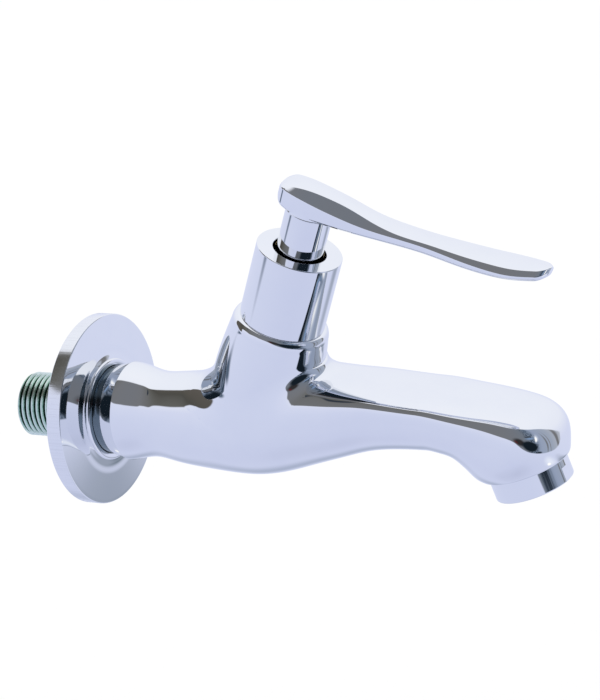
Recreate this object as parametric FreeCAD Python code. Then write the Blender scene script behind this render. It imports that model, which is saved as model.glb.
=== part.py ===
import FreeCAD, Part
import math
import os

# Wall-mounted quarter-turn bib tap, in millimetres.
# The origin is on the inlet axis in the plane of the wall. +X runs from the wall
# along the inlet axis to the spout, +Z is up, and the tap is symmetric about Y = 0.
# The valve tower leans forward: its own frame has the height h along the tower axis,
# from where that axis crosses the inlet axis, and the reach f square to it.

# Inlet thread and nipple (G 1/2)
THREAD_R = 20.955 / 2
THREAD_PITCH = 1.814
THREAD_DEPTH = 1.162
THREAD_CREST = 0.36
THREAD_BACK = 24.3
THREAD_END = 1.0
THREAD_SEAM = 37.0
NIPPLE_BORE_R = 7.5
NIPPLE_SOCKET = 12.0
NIPPLE_CLEAR = 0.05
NIPPLE_CHAMFER = 0.8
NIPPLE_WASHER_T = 1.5

# Wall flange
FLANGE_R = 31.0
FLANGE_T = 5.2
FLANGE_EDGE = 0.35
FLANGE_RIM = 2.2
FLANGE_RECESS = 2.6
FLANGE_HUB_FOOT_R = 20.2
FLANGE_HUB_R = 16.6
FLANGE_HUB_X = 7.0
FLANGE_HUB_ROUND = 0.9
FLANGE_HUB_HOLLOW = 0.25
FLANGE_CROWN = 0.65
FLANGE_CLEAR = 0.1
FLANGE_SLIDE = 2.6
FLANGE_STOP_GAP = 0.2

# Shank and neck of the casting
SHANK_R = 14.3
SHANK_BACK = 2.8
NECK_X = FLANGE_HUB_X + FLANGE_SLIDE + FLANGE_STOP_GAP
NECK_R = 16.2
NECK_BAND = 3.4
NECK_EDGE = 0.45

# Valve tower
TOWER_X = 59.3
TOWER_TILT = 22.0
BOSS_TOP = 37.6
BOSS_TOP_R = 13.2
BOSS_ROUND = 1.8
BOSS_SHOULDER_R = 15.65
BOSS_SHOULDER_DROP = 5.2
BOSS_WAIST_R = 17.1
BOSS_WAIST_H = 17.0
BOSS_BASE_R = 16.3
BOSS_BASE_H = 1.0
BOSS_BLEND = 4.0

# Outlet
OUTLET_X = 152.15
OUTLET_Z = -15.64
OUTLET_TILT = 16.35
COLLAR_DROP = 7.0
RIM_R = 13.93
RIM_ROUND = 0.7

# Sections of the casting along the inlet axis: x, height of the widest level,
# half width, rise above that level, drop below it, squareness above and below
TRUNK = [
    (18.5, 0.0, 15.2, 15.2, 15.2, 2.0, 2.0),
    (24.5, -0.4, 14.0, 14.0, 14.0, 2.0, 2.0),
    (32.0, -0.9, 14.6, 14.6, 14.6, 2.0, 2.0),
    (42.0, -1.0, 15.7, 15.7, 15.7, 2.0, 2.0),
    (52.0, -0.4, 17.5, 16.6, 16.8, 2.0, 2.0),
    (62.0, 0.6, 18.3, 17.2, 17.8, 2.1, 2.0),
    (72.0, 2.2, 18.3, 16.0, 17.5, 2.4, 2.0),
    (82.0, 4.2, 17.5, 14.0, 16.2, 2.75, 2.1),
    (92.0, 5.8, 16.6, 11.2, 14.5, 3.2, 2.2),
    (102.0, 7.3, 15.8, 8.7, 13.1, 3.9, 2.2),
    (112.0, 8.0, 15.5, 6.9, 12.5, 4.3, 2.2),
]

# Sections of the nose, which fan about a pivot under the spout: share of the fan's
# angle, distance of the widest level from the pivot as a share of the fan's reach,
# half width, rise outward, drop inward, squareness outward and inward
FAN_REACH = 30.0
NOSE = [
    (0.0, 0.845, 15.5, 6.2, 12.1, 4.3, 2.2),
    (0.25, 0.853, 15.8, 6.5, 12.2, 4.0, 2.2),
    (0.45, 0.884, 16.1, 8.7, 12.7, 3.7, 2.1),
    (0.61, 0.921, 16.5, 12.2, 14.1, 3.5, 2.0),
    (0.75, 0.966, 16.9, 15.2, 15.2, 3.4, 2.0),
    (0.87, 0.985, 16.5, 15.8, 15.3, 3.0, 2.0),
    (0.95, 0.992, 15.2, 14.8, 14.7, 2.4, 2.0),
]

# Waterway
INLET_WAY_R = 8.5
INLET_WAY_END_X = 52.0
BELLY_WAY_R = 9.5
BELLY_WAY_Z = -3.5
SPOUT_WAY_R = 7.0
SPOUT_WAY = [(71.0, 13.6), (88.0, 6.6), (112.0, 5.9), (136.0, 3.6)]
SPOUT_WAY_LIFT = 19.0

# Valve chamber in the tower
SEAT_H = 9.5
SEAT_HOLE_R = 4.5
SEAT_HOLE_FOOT = -4.0
CHAMBER_R = 9.8
CHAMBER_TOP = 24.0
HEAD_THREAD_R = 10.45
HEAD_CLEAR = 0.05
HEAD_MOUTH_R = 12.1
HEAD_MOUTH_DEPTH = 1.7

# Headwork, from the seat up
SEAL_T = 1.8
SEAL_R = 8.4
SEAL_STAND = 0.8
DISC_R = 8.0
DISC_T = 3.0
DISC_FILM = 0.02
DISC_CLEAR = 0.05
PORT_IN_R = 2.4
PORT_OUT_R = 6.2
PORT_ANGLE = 76.0
MOVING_DISC_R = 7.7
DRIVE_SLOT_W = 2.4
DRIVE_SLOT_DEPTH = 1.4
DRIVE_CLEAR = 0.06
FOOT_R = 7.6
FOOT_T = 3.4
THRUST_T = 0.8
THRUST_R = 7.8
BARREL_R = 9.2
WINDOW_ANGLE = 80.0
WINDOW_H = 5.0
HEAD_FLANGE_R = 11.5
HEAD_FLANGE_T = 0.9
HEX_AF = 19.6
HEX_T = 5.2
COLLAR_R = 10.9
COLLAR_T = 3.2
CROWN_R = 7.8
CROWN_T = 3.0
STEM_R = 4.6
STEM_CLEAR = 0.05
STEM_RING_WIRE_R = 0.7
STEM_RING_H = [28.0, 32.5]
HEAD_RING_WIRE_R = 0.8
SLEEVE_RING_WIRE_R = 0.95
RING_CLEAR = 0.03
STOP_R = 6.5
STOP_ANGLE = 24.0
STOP_SLACK = 1.5
STOP_CLEAR = 0.5
TURN = 90.0
CLIP_T = 0.7
CLIP_R = 6.4
CLIP_GAP = 0.3
CLIP_OPENING = 50.0
SPLINE_TEETH = 20
SPLINE_R = 4.0
SPLINE_TOOTH = 0.35
SPLINE_CLEAR = 0.05
SPLINE_LENGTH = 19.0

# Bonnet sleeve
SLEEVE_R = 13.45
SLEEVE_WALL = 1.8
SLEEVE_TOP = 62.5
SLEEVE_ROOF = 5.0
SLEEVE_HOLE_R = 8.4
SLEEVE_EDGE = 0.35

# Lever
POST_R = 7.3
POST_GAP = 0.7
LEVER_ROOT_BLEND = 1.2
SOCKET_ROOF = 1.0
GRUB_R = 2.0
GRUB_H = 67.0
GRUB_LENGTH = 3.0
GRUB_HEX = 2.0
GRUB_HEX_DEPTH = 1.6
# Sections of the lever: reach f, half width of the top face, half width of the side,
# heights of the top face, of the side's upper edge and of the underside
LEVER = [
    (-10.3, 0.9, 2.4, 83.0, 81.5, 77.6),
    (-9.3, 1.9, 4.3, 83.6, 81.7, 77.1),
    (-7.0, 2.8, 6.4, 84.2, 81.9, 76.6),
    (-2.5, 3.5, 7.5, 84.8, 82.1, 76.3),
    (4.0, 3.7, 7.5, 84.9, 81.9, 76.6),
    (12.0, 3.5, 7.0, 84.4, 81.3, 77.3),
    (20.0, 3.7, 6.3, 83.4, 81.1, 78.1),
    (30.0, 4.3, 5.8, 83.3, 82.0, 79.4),
    (40.0, 4.7, 5.7, 84.3, 83.3, 80.6),
    (50.0, 5.8, 6.7, 85.5, 84.6, 81.7),
    (60.0, 6.6, 7.5, 87.0, 86.0, 83.2),
    (68.0, 6.5, 7.4, 88.6, 87.6, 85.0),
    (73.0, 5.3, 6.2, 89.9, 88.9, 86.4),
    (75.8, 3.4, 4.2, 90.7, 89.8, 87.5),
    (76.9, 1.3, 1.9, 91.0, 90.2, 88.2),
]
LEVER_UNDER_EDGE = 0.9

# Aerator, measured up from its lower edge along the outlet axis
AERATOR_R = 12.45
AERATOR_EDGE = 0.4
AERATOR_FLAT = 12.1
AERATOR_FLAT_H = 4.5
AERATOR_THREAD_R = 11.9
AERATOR_THREAD_CLEAR = 0.05
AERATOR_TOP = 12.0
AERATOR_BORE_R = 10.2
AERATOR_LIP = 1.0
AERATOR_MOUTH_R = 9.6
AERATOR_WASHER_T = 1.6
MESH_T = 0.5
MESH_PITCH = 1.5
MESH_BAR = 0.45
MESH_FRAME = 0.9
INSERT_H = 6.5
INSERT_WALL = 1.4
INSERT_PLATE = 1.6
INSERT_HOLES = 16
INSERT_HOLE_R = 0.7
INSERT_HOLE_RING_R = 7.2
INSERT_CLEAR = 0.05

PARTS_DIR = "parts"
SECTION_POINTS = 32
OVERRUN = 1.0
Z_AXIS = FreeCAD.Vector(0, 0, 1)
Y_AXIS = FreeCAD.Vector(0, 1, 0)
ORIGIN = FreeCAD.Vector(0, 0, 0)

# Heights in the tower that follow from the sizes above
BARREL_FOOT = SEAT_H + SEAL_STAND
FIXED_DISC_H = SEAT_H + SEAL_T
MOVING_DISC_H = FIXED_DISC_H + DISC_T + DISC_FILM
FOOT_H = MOVING_DISC_H + DISC_T + DISC_FILM
FOOT_TOP = FOOT_H + FOOT_T
SHOULDER_H = FOOT_TOP + THRUST_T + DISC_FILM
HEX_H = BOSS_TOP + HEAD_FLANGE_T
COLLAR_H = HEX_H + HEX_T
CROWN_H = COLLAR_H + COLLAR_T
CROWN_TOP = CROWN_H + CROWN_T
CLIP_H = CROWN_TOP + CLIP_GAP
POST_FOOT = CLIP_H + CLIP_T + POST_GAP
SPLINE_TOP = POST_FOOT + SPLINE_LENGTH
SLEEVE_BORE_R = SLEEVE_R - SLEEVE_WALL
SHANK_BORE_R = THREAD_R + NIPPLE_CLEAR
NIPPLE_END = SHANK_BACK + NIPPLE_SOCKET
AERATOR_BORE_TOP = AERATOR_TOP + AERATOR_WASHER_T


def vec(x, y, z):
    return FreeCAD.Vector(x, y, z)


def polygon(points):
    """Closed face from a list of points."""
    return Part.Face(Part.makePolygon(points + points[:1]))


def turned(profile):
    """Solid of revolution about Z from (radius, height) points."""
    return polygon([vec(r, 0, z) for r, z in profile]).revolve(ORIGIN, Z_AXIS, 360)


def rod(radius, low, high):
    """Round bar on Z."""
    return Part.makeCylinder(radius, high - low, vec(0, 0, low))


def ring(inner, outer, low, high):
    """Plain ring on Z."""
    return rod(outer, low, high).cut(rod(inner, low - OVERRUN, high + OVERRUN))


def wire_ring(radius, wire, height):
    """Ring of round section on Z."""
    return Part.makeTorus(radius, wire, vec(0, 0, height))


def bevel(radius, end, size):
    """Cutter for the bevel round the lower end of a bar on Z."""
    return turned([
        (radius - size, end - OVERRUN),
        (radius + OVERRUN, end - OVERRUN),
        (radius + OVERRUN, end + size + OVERRUN),
        (radius - size, end),
    ])


def sector(inner, outer, low, high, middle, spread):
    """Part of a ring, spread degrees wide about the direction middle."""
    piece = Part.makeCylinder(outer, high - low, vec(0, 0, low), Z_AXIS, spread)
    piece.rotate(ORIGIN, Z_AXIS, middle - spread / 2)
    return piece.cut(rod(inner, low - OVERRUN, high + OVERRUN))


def hexagon(across_flats, low, high):
    """Six-sided bar on Z."""
    corner = across_flats / math.sqrt(3)
    points = [
        vec(corner * math.cos(math.radians(60 * i)), corner * math.sin(math.radians(60 * i)), low)
        for i in range(6)
    ]
    return polygon(points).extrude(vec(0, 0, high - low))


def on_inlet(shape):
    """Turn a shape made on Z to lie on the inlet axis, with its height as X."""
    shape = shape.copy()
    shape.rotate(ORIGIN, Y_AXIS, 90)
    return shape


def on_tower(shape):
    """Place a shape made on Z in the leaning tower."""
    shape = shape.copy()
    shape.rotate(ORIGIN, Y_AXIS, TOWER_TILT)
    shape.translate(vec(TOWER_X, 0, 0))
    return shape


def on_outlet(shape):
    """Place a shape made on Z on the outlet axis, with its height up from the outlet."""
    shape = shape.copy()
    shape.rotate(ORIGIN, Y_AXIS, -OUTLET_TILT)
    shape.translate(vec(OUTLET_X, 0, OUTLET_Z))
    return shape


def outlet_point(lift, reach):
    """Point in the symmetry plane, by its height on the outlet axis and reach from it."""
    lean = math.radians(OUTLET_TILT)
    x = OUTLET_X - lift * math.sin(lean) + reach * math.cos(lean)
    z = OUTLET_Z + lift * math.cos(lean) + reach * math.sin(lean)
    return vec(x, 0, z)


def superellipse(half_width, rise, drop, power_up, power_down):
    """Points (across, along) of a section with its own curve above and below.

    The first point is the lowest one, which keeps the seam of the casting under it.
    """
    points = []
    for i in range(SECTION_POINTS):
        angle = 2 * math.pi * i / SECTION_POINTS - math.pi / 2
        across = math.cos(angle)
        along = math.sin(angle)
        height, power = (rise, power_up) if along >= 0 else (drop, power_down)
        scale = (abs(across) ** power + abs(along) ** power) ** (-1 / power)
        points.append((half_width * across * scale, height * along * scale))
    return points


def section_wire(centre, along, shape):
    """Closed smooth section of the casting, across Y and along the given direction."""
    curve = Part.BSplineCurve()
    points = [centre + Y_AXIS * y + along * a for y, a in superellipse(*shape)]
    curve.interpolate(points, PeriodicFlag=True)
    return Part.Wire([curve.toShape()])


def casting_sections():
    """Section wires of the casting from the neck to the rim of the nose."""
    wires = []
    for x in (NECK_X, NECK_X + NECK_BAND):
        wires.append(section_wire(vec(x, 0, 0), Z_AXIS, (NECK_R, NECK_R, NECK_R, 2, 2)))
    for x, level, width, rise, drop, power_up, power_down in TRUNK:
        wires.append(section_wire(vec(x, 0, level), Z_AXIS, (width, rise, drop, power_up, power_down)))
    pivot = outlet_point(COLLAR_DROP, -FAN_REACH)
    fan = 90 - OUTLET_TILT
    for share, reach, width, rise, drop, power_up, power_down in NOSE:
        turn = math.radians(fan * share)
        along = vec(math.sin(turn), 0, math.cos(turn))
        middle = pivot + along * reach * FAN_REACH
        wires.append(section_wire(middle, along, (width, rise, drop, power_up, power_down)))
    along = vec(math.sin(math.radians(fan)), 0, math.cos(math.radians(fan)))
    wires.append(section_wire(pivot + along * FAN_REACH, along, (RIM_R, RIM_R, RIM_R, 2, 2)))
    return wires


def boss():
    """Outside of the valve tower's casting, made on Z."""
    arc_start = vec(BOSS_TOP_R, 0, BOSS_TOP)
    arc_end = vec(BOSS_TOP_R + BOSS_ROUND, 0, BOSS_TOP - BOSS_ROUND)
    middle = vec(BOSS_TOP_R + BOSS_ROUND * math.sin(math.pi / 4),
                 0, BOSS_TOP - BOSS_ROUND * (1 - math.cos(math.pi / 4)))
    shoulder = vec(BOSS_SHOULDER_R, 0, BOSS_TOP - BOSS_SHOULDER_DROP)
    waist = vec(BOSS_WAIST_R, 0, BOSS_WAIST_H)
    base = vec(BOSS_BASE_R, 0, BOSS_BASE_H)
    foot = vec(0, 0, BOSS_BASE_H - BOSS_BASE_R / 2)
    side = Part.BSplineCurve()
    side.interpolate([arc_end, shoulder, waist, base])
    edges = [
        Part.LineSegment(vec(0, 0, BOSS_TOP), arc_start).toShape(),
        Part.Arc(arc_start, middle, arc_end).toShape(),
        side.toShape(),
        Part.LineSegment(base, foot).toShape(),
        Part.LineSegment(foot, vec(0, 0, BOSS_TOP)).toShape(),
    ]
    return Part.Face(Part.Wire(edges)).revolve(ORIGIN, Z_AXIS, 360)


def pipe_run(points, radius):
    """Straight waterway runs with a ball at each corner."""
    solid = None
    for start, end in zip(points, points[1:]):
        run = Part.makeCylinder(radius, start.distanceToPoint(end), start, end - start)
        pieces = [run, Part.makeSphere(radius, start), Part.makeSphere(radius, end)]
        for piece in pieces:
            solid = piece if solid is None else solid.fuse(piece)
    return solid.removeSplitter()


def waterway():
    """Inlet way, seat hole, valve chamber, spout way and aerator socket as one tool."""
    inlet = on_inlet(rod(INLET_WAY_R, NIPPLE_END, INLET_WAY_END_X))
    belly = Part.makeSphere(BELLY_WAY_R, vec(INLET_WAY_END_X, 0, BELLY_WAY_Z))
    socket = on_inlet(rod(SHANK_BORE_R, 0, NIPPLE_END + NIPPLE_WASHER_T))
    seat = on_tower(rod(SEAT_HOLE_R, SEAT_HOLE_FOOT, SEAT_H + OVERRUN))
    chamber = on_tower(rod(CHAMBER_R, SEAT_H, BOSS_TOP))
    bore = on_tower(rod(HEAD_THREAD_R + HEAD_CLEAR, CHAMBER_TOP, BOSS_TOP + OVERRUN))
    mouth = on_tower(rod(HEAD_MOUTH_R, BOSS_TOP - HEAD_MOUTH_DEPTH, BOSS_TOP + OVERRUN))
    corner = outlet_point(SPOUT_WAY_LIFT, 0)
    way = [vec(x, 0, z) for x, z in SPOUT_WAY] + [corner, outlet_point(AERATOR_BORE_TOP, 0)]
    spout = pipe_run(way, SPOUT_WAY_R)
    socket_r = AERATOR_THREAD_R + AERATOR_THREAD_CLEAR
    aerator = on_outlet(rod(socket_r, COLLAR_DROP - OVERRUN, AERATOR_BORE_TOP))
    return inlet.multiFuse([belly, socket, seat, chamber, bore, mouth, spout, aerator])


def edges_between(shape, first, second):
    """Edges where one kind of surface meets another."""
    found = []
    for edge in shape.Edges:
        kinds = [face.Surface.TypeId for face in shape.ancestorsOfType(edge, Part.Face)]
        if sorted(kinds) == sorted([first, second]):
            found.append(edge)
    return found


def tap_body():
    """The casting: shank, neck, belly, valve tower, spout and nose, with its waterway."""
    trunk = Part.makeLoft(casting_sections(), True, False)
    lofted = "Part::GeomBSplineSurface"
    ends = edges_between(trunk, lofted, "Part::GeomPlane")
    trunk = trunk.makeFillet(RIM_ROUND, [edge for edge in ends if edge.BoundBox.XMin > TOWER_X])
    trunk = trunk.cut(on_inlet(bevel(NECK_R, NECK_X, NECK_EDGE)))
    outside = trunk.fuse(on_tower(boss()))
    outside = outside.makeFillet(BOSS_BLEND, edges_between(outside, lofted, "Part::GeomSurfaceOfRevolution"))
    outside = outside.fuse(on_inlet(rod(SHANK_R, SHANK_BACK, NECK_X + OVERRUN)))
    return outside.cut(waterway())


def thread_groove(start, length):
    """Helical cutter for the groove of the inlet thread, made on Z."""
    lift = THREAD_DEPTH / 10
    mouth = (THREAD_PITCH - THREAD_CREST) * (THREAD_DEPTH + lift) / THREAD_DEPTH
    root_r = THREAD_R - THREAD_DEPTH
    points = [
        vec(THREAD_R + lift, 0, -mouth / 2),
        vec(root_r, 0, -THREAD_CREST / 2),
        vec(root_r, 0, THREAD_CREST / 2),
        vec(THREAD_R + lift, 0, mouth / 2),
    ]
    profile = Part.makePolygon(points + points[:1])
    helix = Part.makeHelix(THREAD_PITCH, length, THREAD_R)
    groove = Part.Wire(helix.Edges).makePipeShell([profile], True, True)
    groove.translate(vec(0, 0, start))
    return groove


def inlet_nipple():
    """Threaded tail with the G 1/2 thread behind the wall plane."""
    lead = 2 * THREAD_PITCH
    bar = rod(THREAD_R, -THREAD_BACK - 2 * lead, NIPPLE_END)
    bar.rotate(ORIGIN, Z_AXIS, THREAD_SEAM)
    bar = bar.cut(thread_groove(-THREAD_BACK - lead, THREAD_BACK + lead + THREAD_END))
    bar = bar.common(rod(THREAD_R + OVERRUN, -THREAD_BACK, NIPPLE_END + OVERRUN))
    bar = bar.cut(bevel(THREAD_R, -THREAD_BACK, NIPPLE_CHAMFER))
    return on_inlet(bar.cut(rod(NIPPLE_BORE_R, -THREAD_BACK - OVERRUN, NIPPLE_END + OVERRUN)))


def nipple_washer():
    """Flat seal between the nipple's end and the floor of its socket."""
    return on_inlet(ring(NIPPLE_BORE_R, THREAD_R, NIPPLE_END, NIPPLE_END + NIPPLE_WASHER_T))


def wall_flange():
    """Loose round wall flange with a low filleted hub."""
    bore = SHANK_R + FLANGE_CLEAR
    hub_end = vec(FLANGE_HUB_R - FLANGE_HUB_ROUND, 0, FLANGE_HUB_X)
    hub_side = vec(FLANGE_HUB_R, 0, FLANGE_HUB_X - FLANGE_HUB_ROUND)
    bend = FLANGE_HUB_ROUND * math.sin(math.pi / 4)
    hub_mid = vec(FLANGE_HUB_R - FLANGE_HUB_ROUND + bend, 0, FLANGE_HUB_X - FLANGE_HUB_ROUND + bend)
    foot = vec(FLANGE_HUB_FOOT_R, 0, FLANGE_T + FLANGE_CROWN)
    slope = foot - hub_side
    inward = vec(slope.z, 0, -slope.x).normalize()
    hollow_mid = (hub_side + foot) * 0.5 + inward * FLANGE_HUB_HOLLOW
    edge_in = vec(FLANGE_R - FLANGE_EDGE, 0, FLANGE_T)
    edge_out = vec(FLANGE_R, 0, FLANGE_T - FLANGE_EDGE)
    line = Part.LineSegment
    edges = [
        line(vec(bore, 0, FLANGE_RECESS), vec(bore, 0, FLANGE_HUB_X)).toShape(),
        line(vec(bore, 0, FLANGE_HUB_X), hub_end).toShape(),
        Part.Arc(hub_end, hub_mid, hub_side).toShape(),
        Part.Arc(hub_side, hollow_mid, foot).toShape(),
        line(foot, edge_in).toShape(),
        line(edge_in, edge_out).toShape(),
        line(edge_out, vec(FLANGE_R, 0, 0)).toShape(),
        line(vec(FLANGE_R, 0, 0), vec(FLANGE_R - FLANGE_RIM, 0, 0)).toShape(),
        line(vec(FLANGE_R - FLANGE_RIM, 0, 0), vec(FLANGE_R - FLANGE_RIM, 0, FLANGE_RECESS)).toShape(),
        line(vec(FLANGE_R - FLANGE_RIM, 0, FLANGE_RECESS), vec(bore, 0, FLANGE_RECESS)).toShape(),
    ]
    return on_inlet(Part.Face(Part.Wire(edges)).revolve(ORIGIN, Z_AXIS, 360))


def ring_groove(radius, wire, height):
    """Cutter for a square groove that holds a round ring on its outside."""
    half = wire + RING_CLEAR
    return ring(radius - wire - RING_CLEAR, radius + wire + OVERRUN, height - half, height + half)


def stem_ring_radius():
    """Middle radius of the rings that seal the spindle in its bore."""
    return STEM_R + STEM_CLEAR - STEM_RING_WIRE_R - RING_CLEAR


def sleeve_ring_radius():
    """Middle radius of the ring that holds the sleeve on the headwork."""
    return SLEEVE_BORE_R - SLEEVE_RING_WIRE_R - RING_CLEAR


def headwork_housing():
    """Brass housing of the quarter-turn headwork."""
    stem_bore = STEM_R + STEM_CLEAR
    disc_bore = DISC_R + DISC_CLEAR
    seal_bore = SEAL_R + DISC_CLEAR
    solid = rod(BARREL_R, BARREL_FOOT, CHAMBER_TOP + OVERRUN)
    solid = solid.fuse(rod(HEAD_THREAD_R, CHAMBER_TOP + OVERRUN, BOSS_TOP))
    solid = solid.fuse(rod(HEAD_FLANGE_R, BOSS_TOP, HEX_H))
    solid = solid.fuse(hexagon(HEX_AF, HEX_H, COLLAR_H))
    solid = solid.fuse(rod(COLLAR_R, COLLAR_H, CROWN_H))
    solid = solid.fuse(rod(CROWN_R, CROWN_H, CROWN_TOP))
    solid = solid.cut(rod(seal_bore, BARREL_FOOT - OVERRUN, FIXED_DISC_H))
    solid = solid.cut(rod(disc_bore, FIXED_DISC_H - OVERRUN, SHOULDER_H))
    solid = solid.cut(rod(stem_bore, SHOULDER_H - OVERRUN, CROWN_TOP + OVERRUN))
    for middle in (0, 180):
        window = sector(stem_bore, BARREL_R + OVERRUN, MOVING_DISC_H, MOVING_DISC_H + WINDOW_H,
                        middle, WINDOW_ANGLE)
        solid = solid.cut(window)
    solid = solid.cut(ring_groove(sleeve_ring_radius(), SLEEVE_RING_WIRE_R, COLLAR_H + COLLAR_T / 2))
    stop_way = sector(0, STOP_R + STOP_CLEAR, CROWN_H + STOP_CLEAR, CROWN_TOP + OVERRUN,
                      180 + TURN / 2, TURN + STOP_ANGLE + 2 * STOP_SLACK)
    return on_tower(solid.cut(stop_way))


def headwork_ring():
    """Ring that seals the headwork in the mouth of the tower."""
    radius = HEAD_THREAD_R + HEAD_RING_WIRE_R + RING_CLEAR
    height = BOSS_TOP - HEAD_RING_WIRE_R - RING_CLEAR
    return on_tower(wire_ring(radius, HEAD_RING_WIRE_R, height))


def disc_seal():
    """Rubber seal between the seat and the fixed disc."""
    return on_tower(ring(SEAT_HOLE_R, SEAL_R, SEAT_H, FIXED_DISC_H))


def ports(outer, low, high):
    """Cutter for the pair of opposite water ports of a ceramic disc."""
    pair = [sector(PORT_IN_R, outer, low, high, middle, PORT_ANGLE) for middle in (0, 180)]
    return pair[0].fuse(pair[1])


def fixed_disc():
    """Ceramic disc that stays in the housing."""
    disc = rod(DISC_R, FIXED_DISC_H, FIXED_DISC_H + DISC_T)
    return on_tower(disc.cut(ports(PORT_OUT_R, FIXED_DISC_H - OVERRUN, FIXED_DISC_H + DISC_T + OVERRUN)))


def drive_key(width, low, high):
    """Bar across the discs that the spindle drives with."""
    reach = MOVING_DISC_R + OVERRUN
    return Part.makeBox(2 * reach, width, high - low, vec(-reach, -width / 2, low))


def moving_disc():
    """Ceramic disc that turns with the spindle; shut, its side ports stand across the fixed ones."""
    top = MOVING_DISC_H + DISC_T
    disc = rod(MOVING_DISC_R, MOVING_DISC_H, top)
    windows = ports(MOVING_DISC_R + OVERRUN, MOVING_DISC_H - OVERRUN, top - DRIVE_SLOT_DEPTH)
    windows.rotate(ORIGIN, Z_AXIS, -TURN)
    disc = disc.cut(windows)
    return on_tower(disc.cut(drive_key(DRIVE_SLOT_W, top - DRIVE_SLOT_DEPTH, top + OVERRUN)))


def thrust_washer():
    """Slip washer between the spindle's foot and the housing."""
    return on_tower(ring(STEM_R + STEM_CLEAR, THRUST_R, FOOT_TOP, FOOT_TOP + THRUST_T))


def spline(radius, low, high):
    """Splined bar on Z; the tooth depth is the same for the bar and its socket."""
    points = []
    count = 2 * SPLINE_TEETH
    for i in range(count):
        angle = 2 * math.pi * i / count
        r = radius if i % 2 == 0 else radius - SPLINE_TOOTH
        points.append(vec(r * math.cos(angle), r * math.sin(angle), low))
    return polygon(points).extrude(vec(0, 0, high - low))


def spindle():
    """Spindle with its drive key, foot, stem, stop, clip groove and spline."""
    key_low = FOOT_H - DRIVE_SLOT_DEPTH + DRIVE_CLEAR
    key = drive_key(DRIVE_SLOT_W - 2 * DRIVE_CLEAR, key_low, FOOT_H + OVERRUN)
    solid = key.common(rod(MOVING_DISC_R, key_low, FOOT_H + OVERRUN))
    solid = solid.fuse(rod(FOOT_R, FOOT_H, FOOT_TOP))
    solid = solid.fuse(rod(STEM_R, FOOT_TOP - OVERRUN, POST_FOOT))
    stop_low = CROWN_H + STOP_CLEAR + RING_CLEAR
    solid = solid.fuse(sector(0, STOP_R, stop_low, CROWN_TOP, 180, STOP_ANGLE))
    solid = solid.fuse(spline(SPLINE_R, POST_FOOT - OVERRUN, SPLINE_TOP))
    for height in STEM_RING_H:
        solid = solid.cut(ring_groove(stem_ring_radius(), STEM_RING_WIRE_R, height))
    groove = ring(SPLINE_R, STEM_R + OVERRUN, CLIP_H - RING_CLEAR, CLIP_H + CLIP_T + RING_CLEAR)
    return on_tower(solid.cut(groove))


def spindle_rings():
    """The two rings that seal the spindle."""
    rings = [wire_ring(stem_ring_radius(), STEM_RING_WIRE_R, height) for height in STEM_RING_H]
    return on_tower(Part.makeCompound(rings))


def spindle_clip():
    """Open spring clip that holds the spindle down in the housing."""
    clip = ring(SPLINE_R + RING_CLEAR, CLIP_R, CLIP_H, CLIP_H + CLIP_T)
    opening = sector(0, CLIP_R + OVERRUN, CLIP_H - OVERRUN, CLIP_H + CLIP_T + OVERRUN, 0, CLIP_OPENING)
    return on_tower(clip.cut(opening))


def sleeve_ring():
    """Ring that grips the sleeve."""
    return on_tower(wire_ring(sleeve_ring_radius(), SLEEVE_RING_WIRE_R, COLLAR_H + COLLAR_T / 2))


def bonnet_sleeve():
    """Plain round sleeve over the headwork, with a hole for the lever's post."""
    roof = SLEEVE_TOP - SLEEVE_ROOF
    return on_tower(turned([
        (SLEEVE_BORE_R, BOSS_TOP),
        (SLEEVE_R, BOSS_TOP),
        (SLEEVE_R, SLEEVE_TOP - SLEEVE_EDGE),
        (SLEEVE_R - SLEEVE_EDGE, SLEEVE_TOP),
        (SLEEVE_HOLE_R + SLEEVE_EDGE, SLEEVE_TOP),
        (SLEEVE_HOLE_R, SLEEVE_TOP - SLEEVE_EDGE),
        (SLEEVE_HOLE_R, roof),
        (SLEEVE_BORE_R, roof),
    ]))


def lever_section(reach, top_half, side_half, top, side_top, under):
    """Eight-sided section of the lever, square to its reach."""
    edge = min(LEVER_UNDER_EDGE, side_half / 2)
    half = [
        (side_half - edge, under),
        (side_half, under + edge),
        (side_half, side_top),
        (top_half, top),
    ]
    points = half + [(-y, h) for y, h in reversed(half)]
    return Part.makePolygon([vec(reach, y, h) for y, h in points + points[:1]])


def grub_direction():
    """The grub screw points from the back of the post to the spindle."""
    return vec(-1, 0, 0)


def lever_handle():
    """Lever with its post, splined socket and grub screw hole."""
    blade = Part.makeLoft([lever_section(*row) for row in LEVER], True, False)
    root_low = min(row[5] for row in LEVER)
    post = rod(POST_R, POST_FOOT, root_low + 2 * LEVER_ROOT_BLEND)
    flare = Part.makeCone(POST_R, POST_R + LEVER_ROOT_BLEND / 4, LEVER_ROOT_BLEND,
                          vec(0, 0, root_low - LEVER_ROOT_BLEND / 2))
    solid = blade.fuse(post).fuse(flare)
    socket = spline(SPLINE_R + SPLINE_CLEAR, POST_FOOT - OVERRUN, SPLINE_TOP + SOCKET_ROOF)
    hole = Part.makeCylinder(GRUB_R, POST_R + OVERRUN, vec(0, 0, GRUB_H), grub_direction())
    return on_tower(solid.cut(socket).cut(hole))


def grub_screw():
    """Grub screw at the back of the post, with a hexagon socket."""
    tip = SPLINE_R + SPLINE_CLEAR
    screw = Part.makeCylinder(GRUB_R - SPLINE_CLEAR, GRUB_LENGTH, vec(-tip, 0, GRUB_H), grub_direction())
    socket = hexagon(GRUB_HEX, 0, GRUB_HEX_DEPTH + OVERRUN)
    socket.rotate(ORIGIN, Y_AXIS, -90)
    socket.translate(vec(-tip - GRUB_LENGTH + GRUB_HEX_DEPTH, 0, GRUB_H))
    return on_tower(screw.cut(socket))


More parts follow.
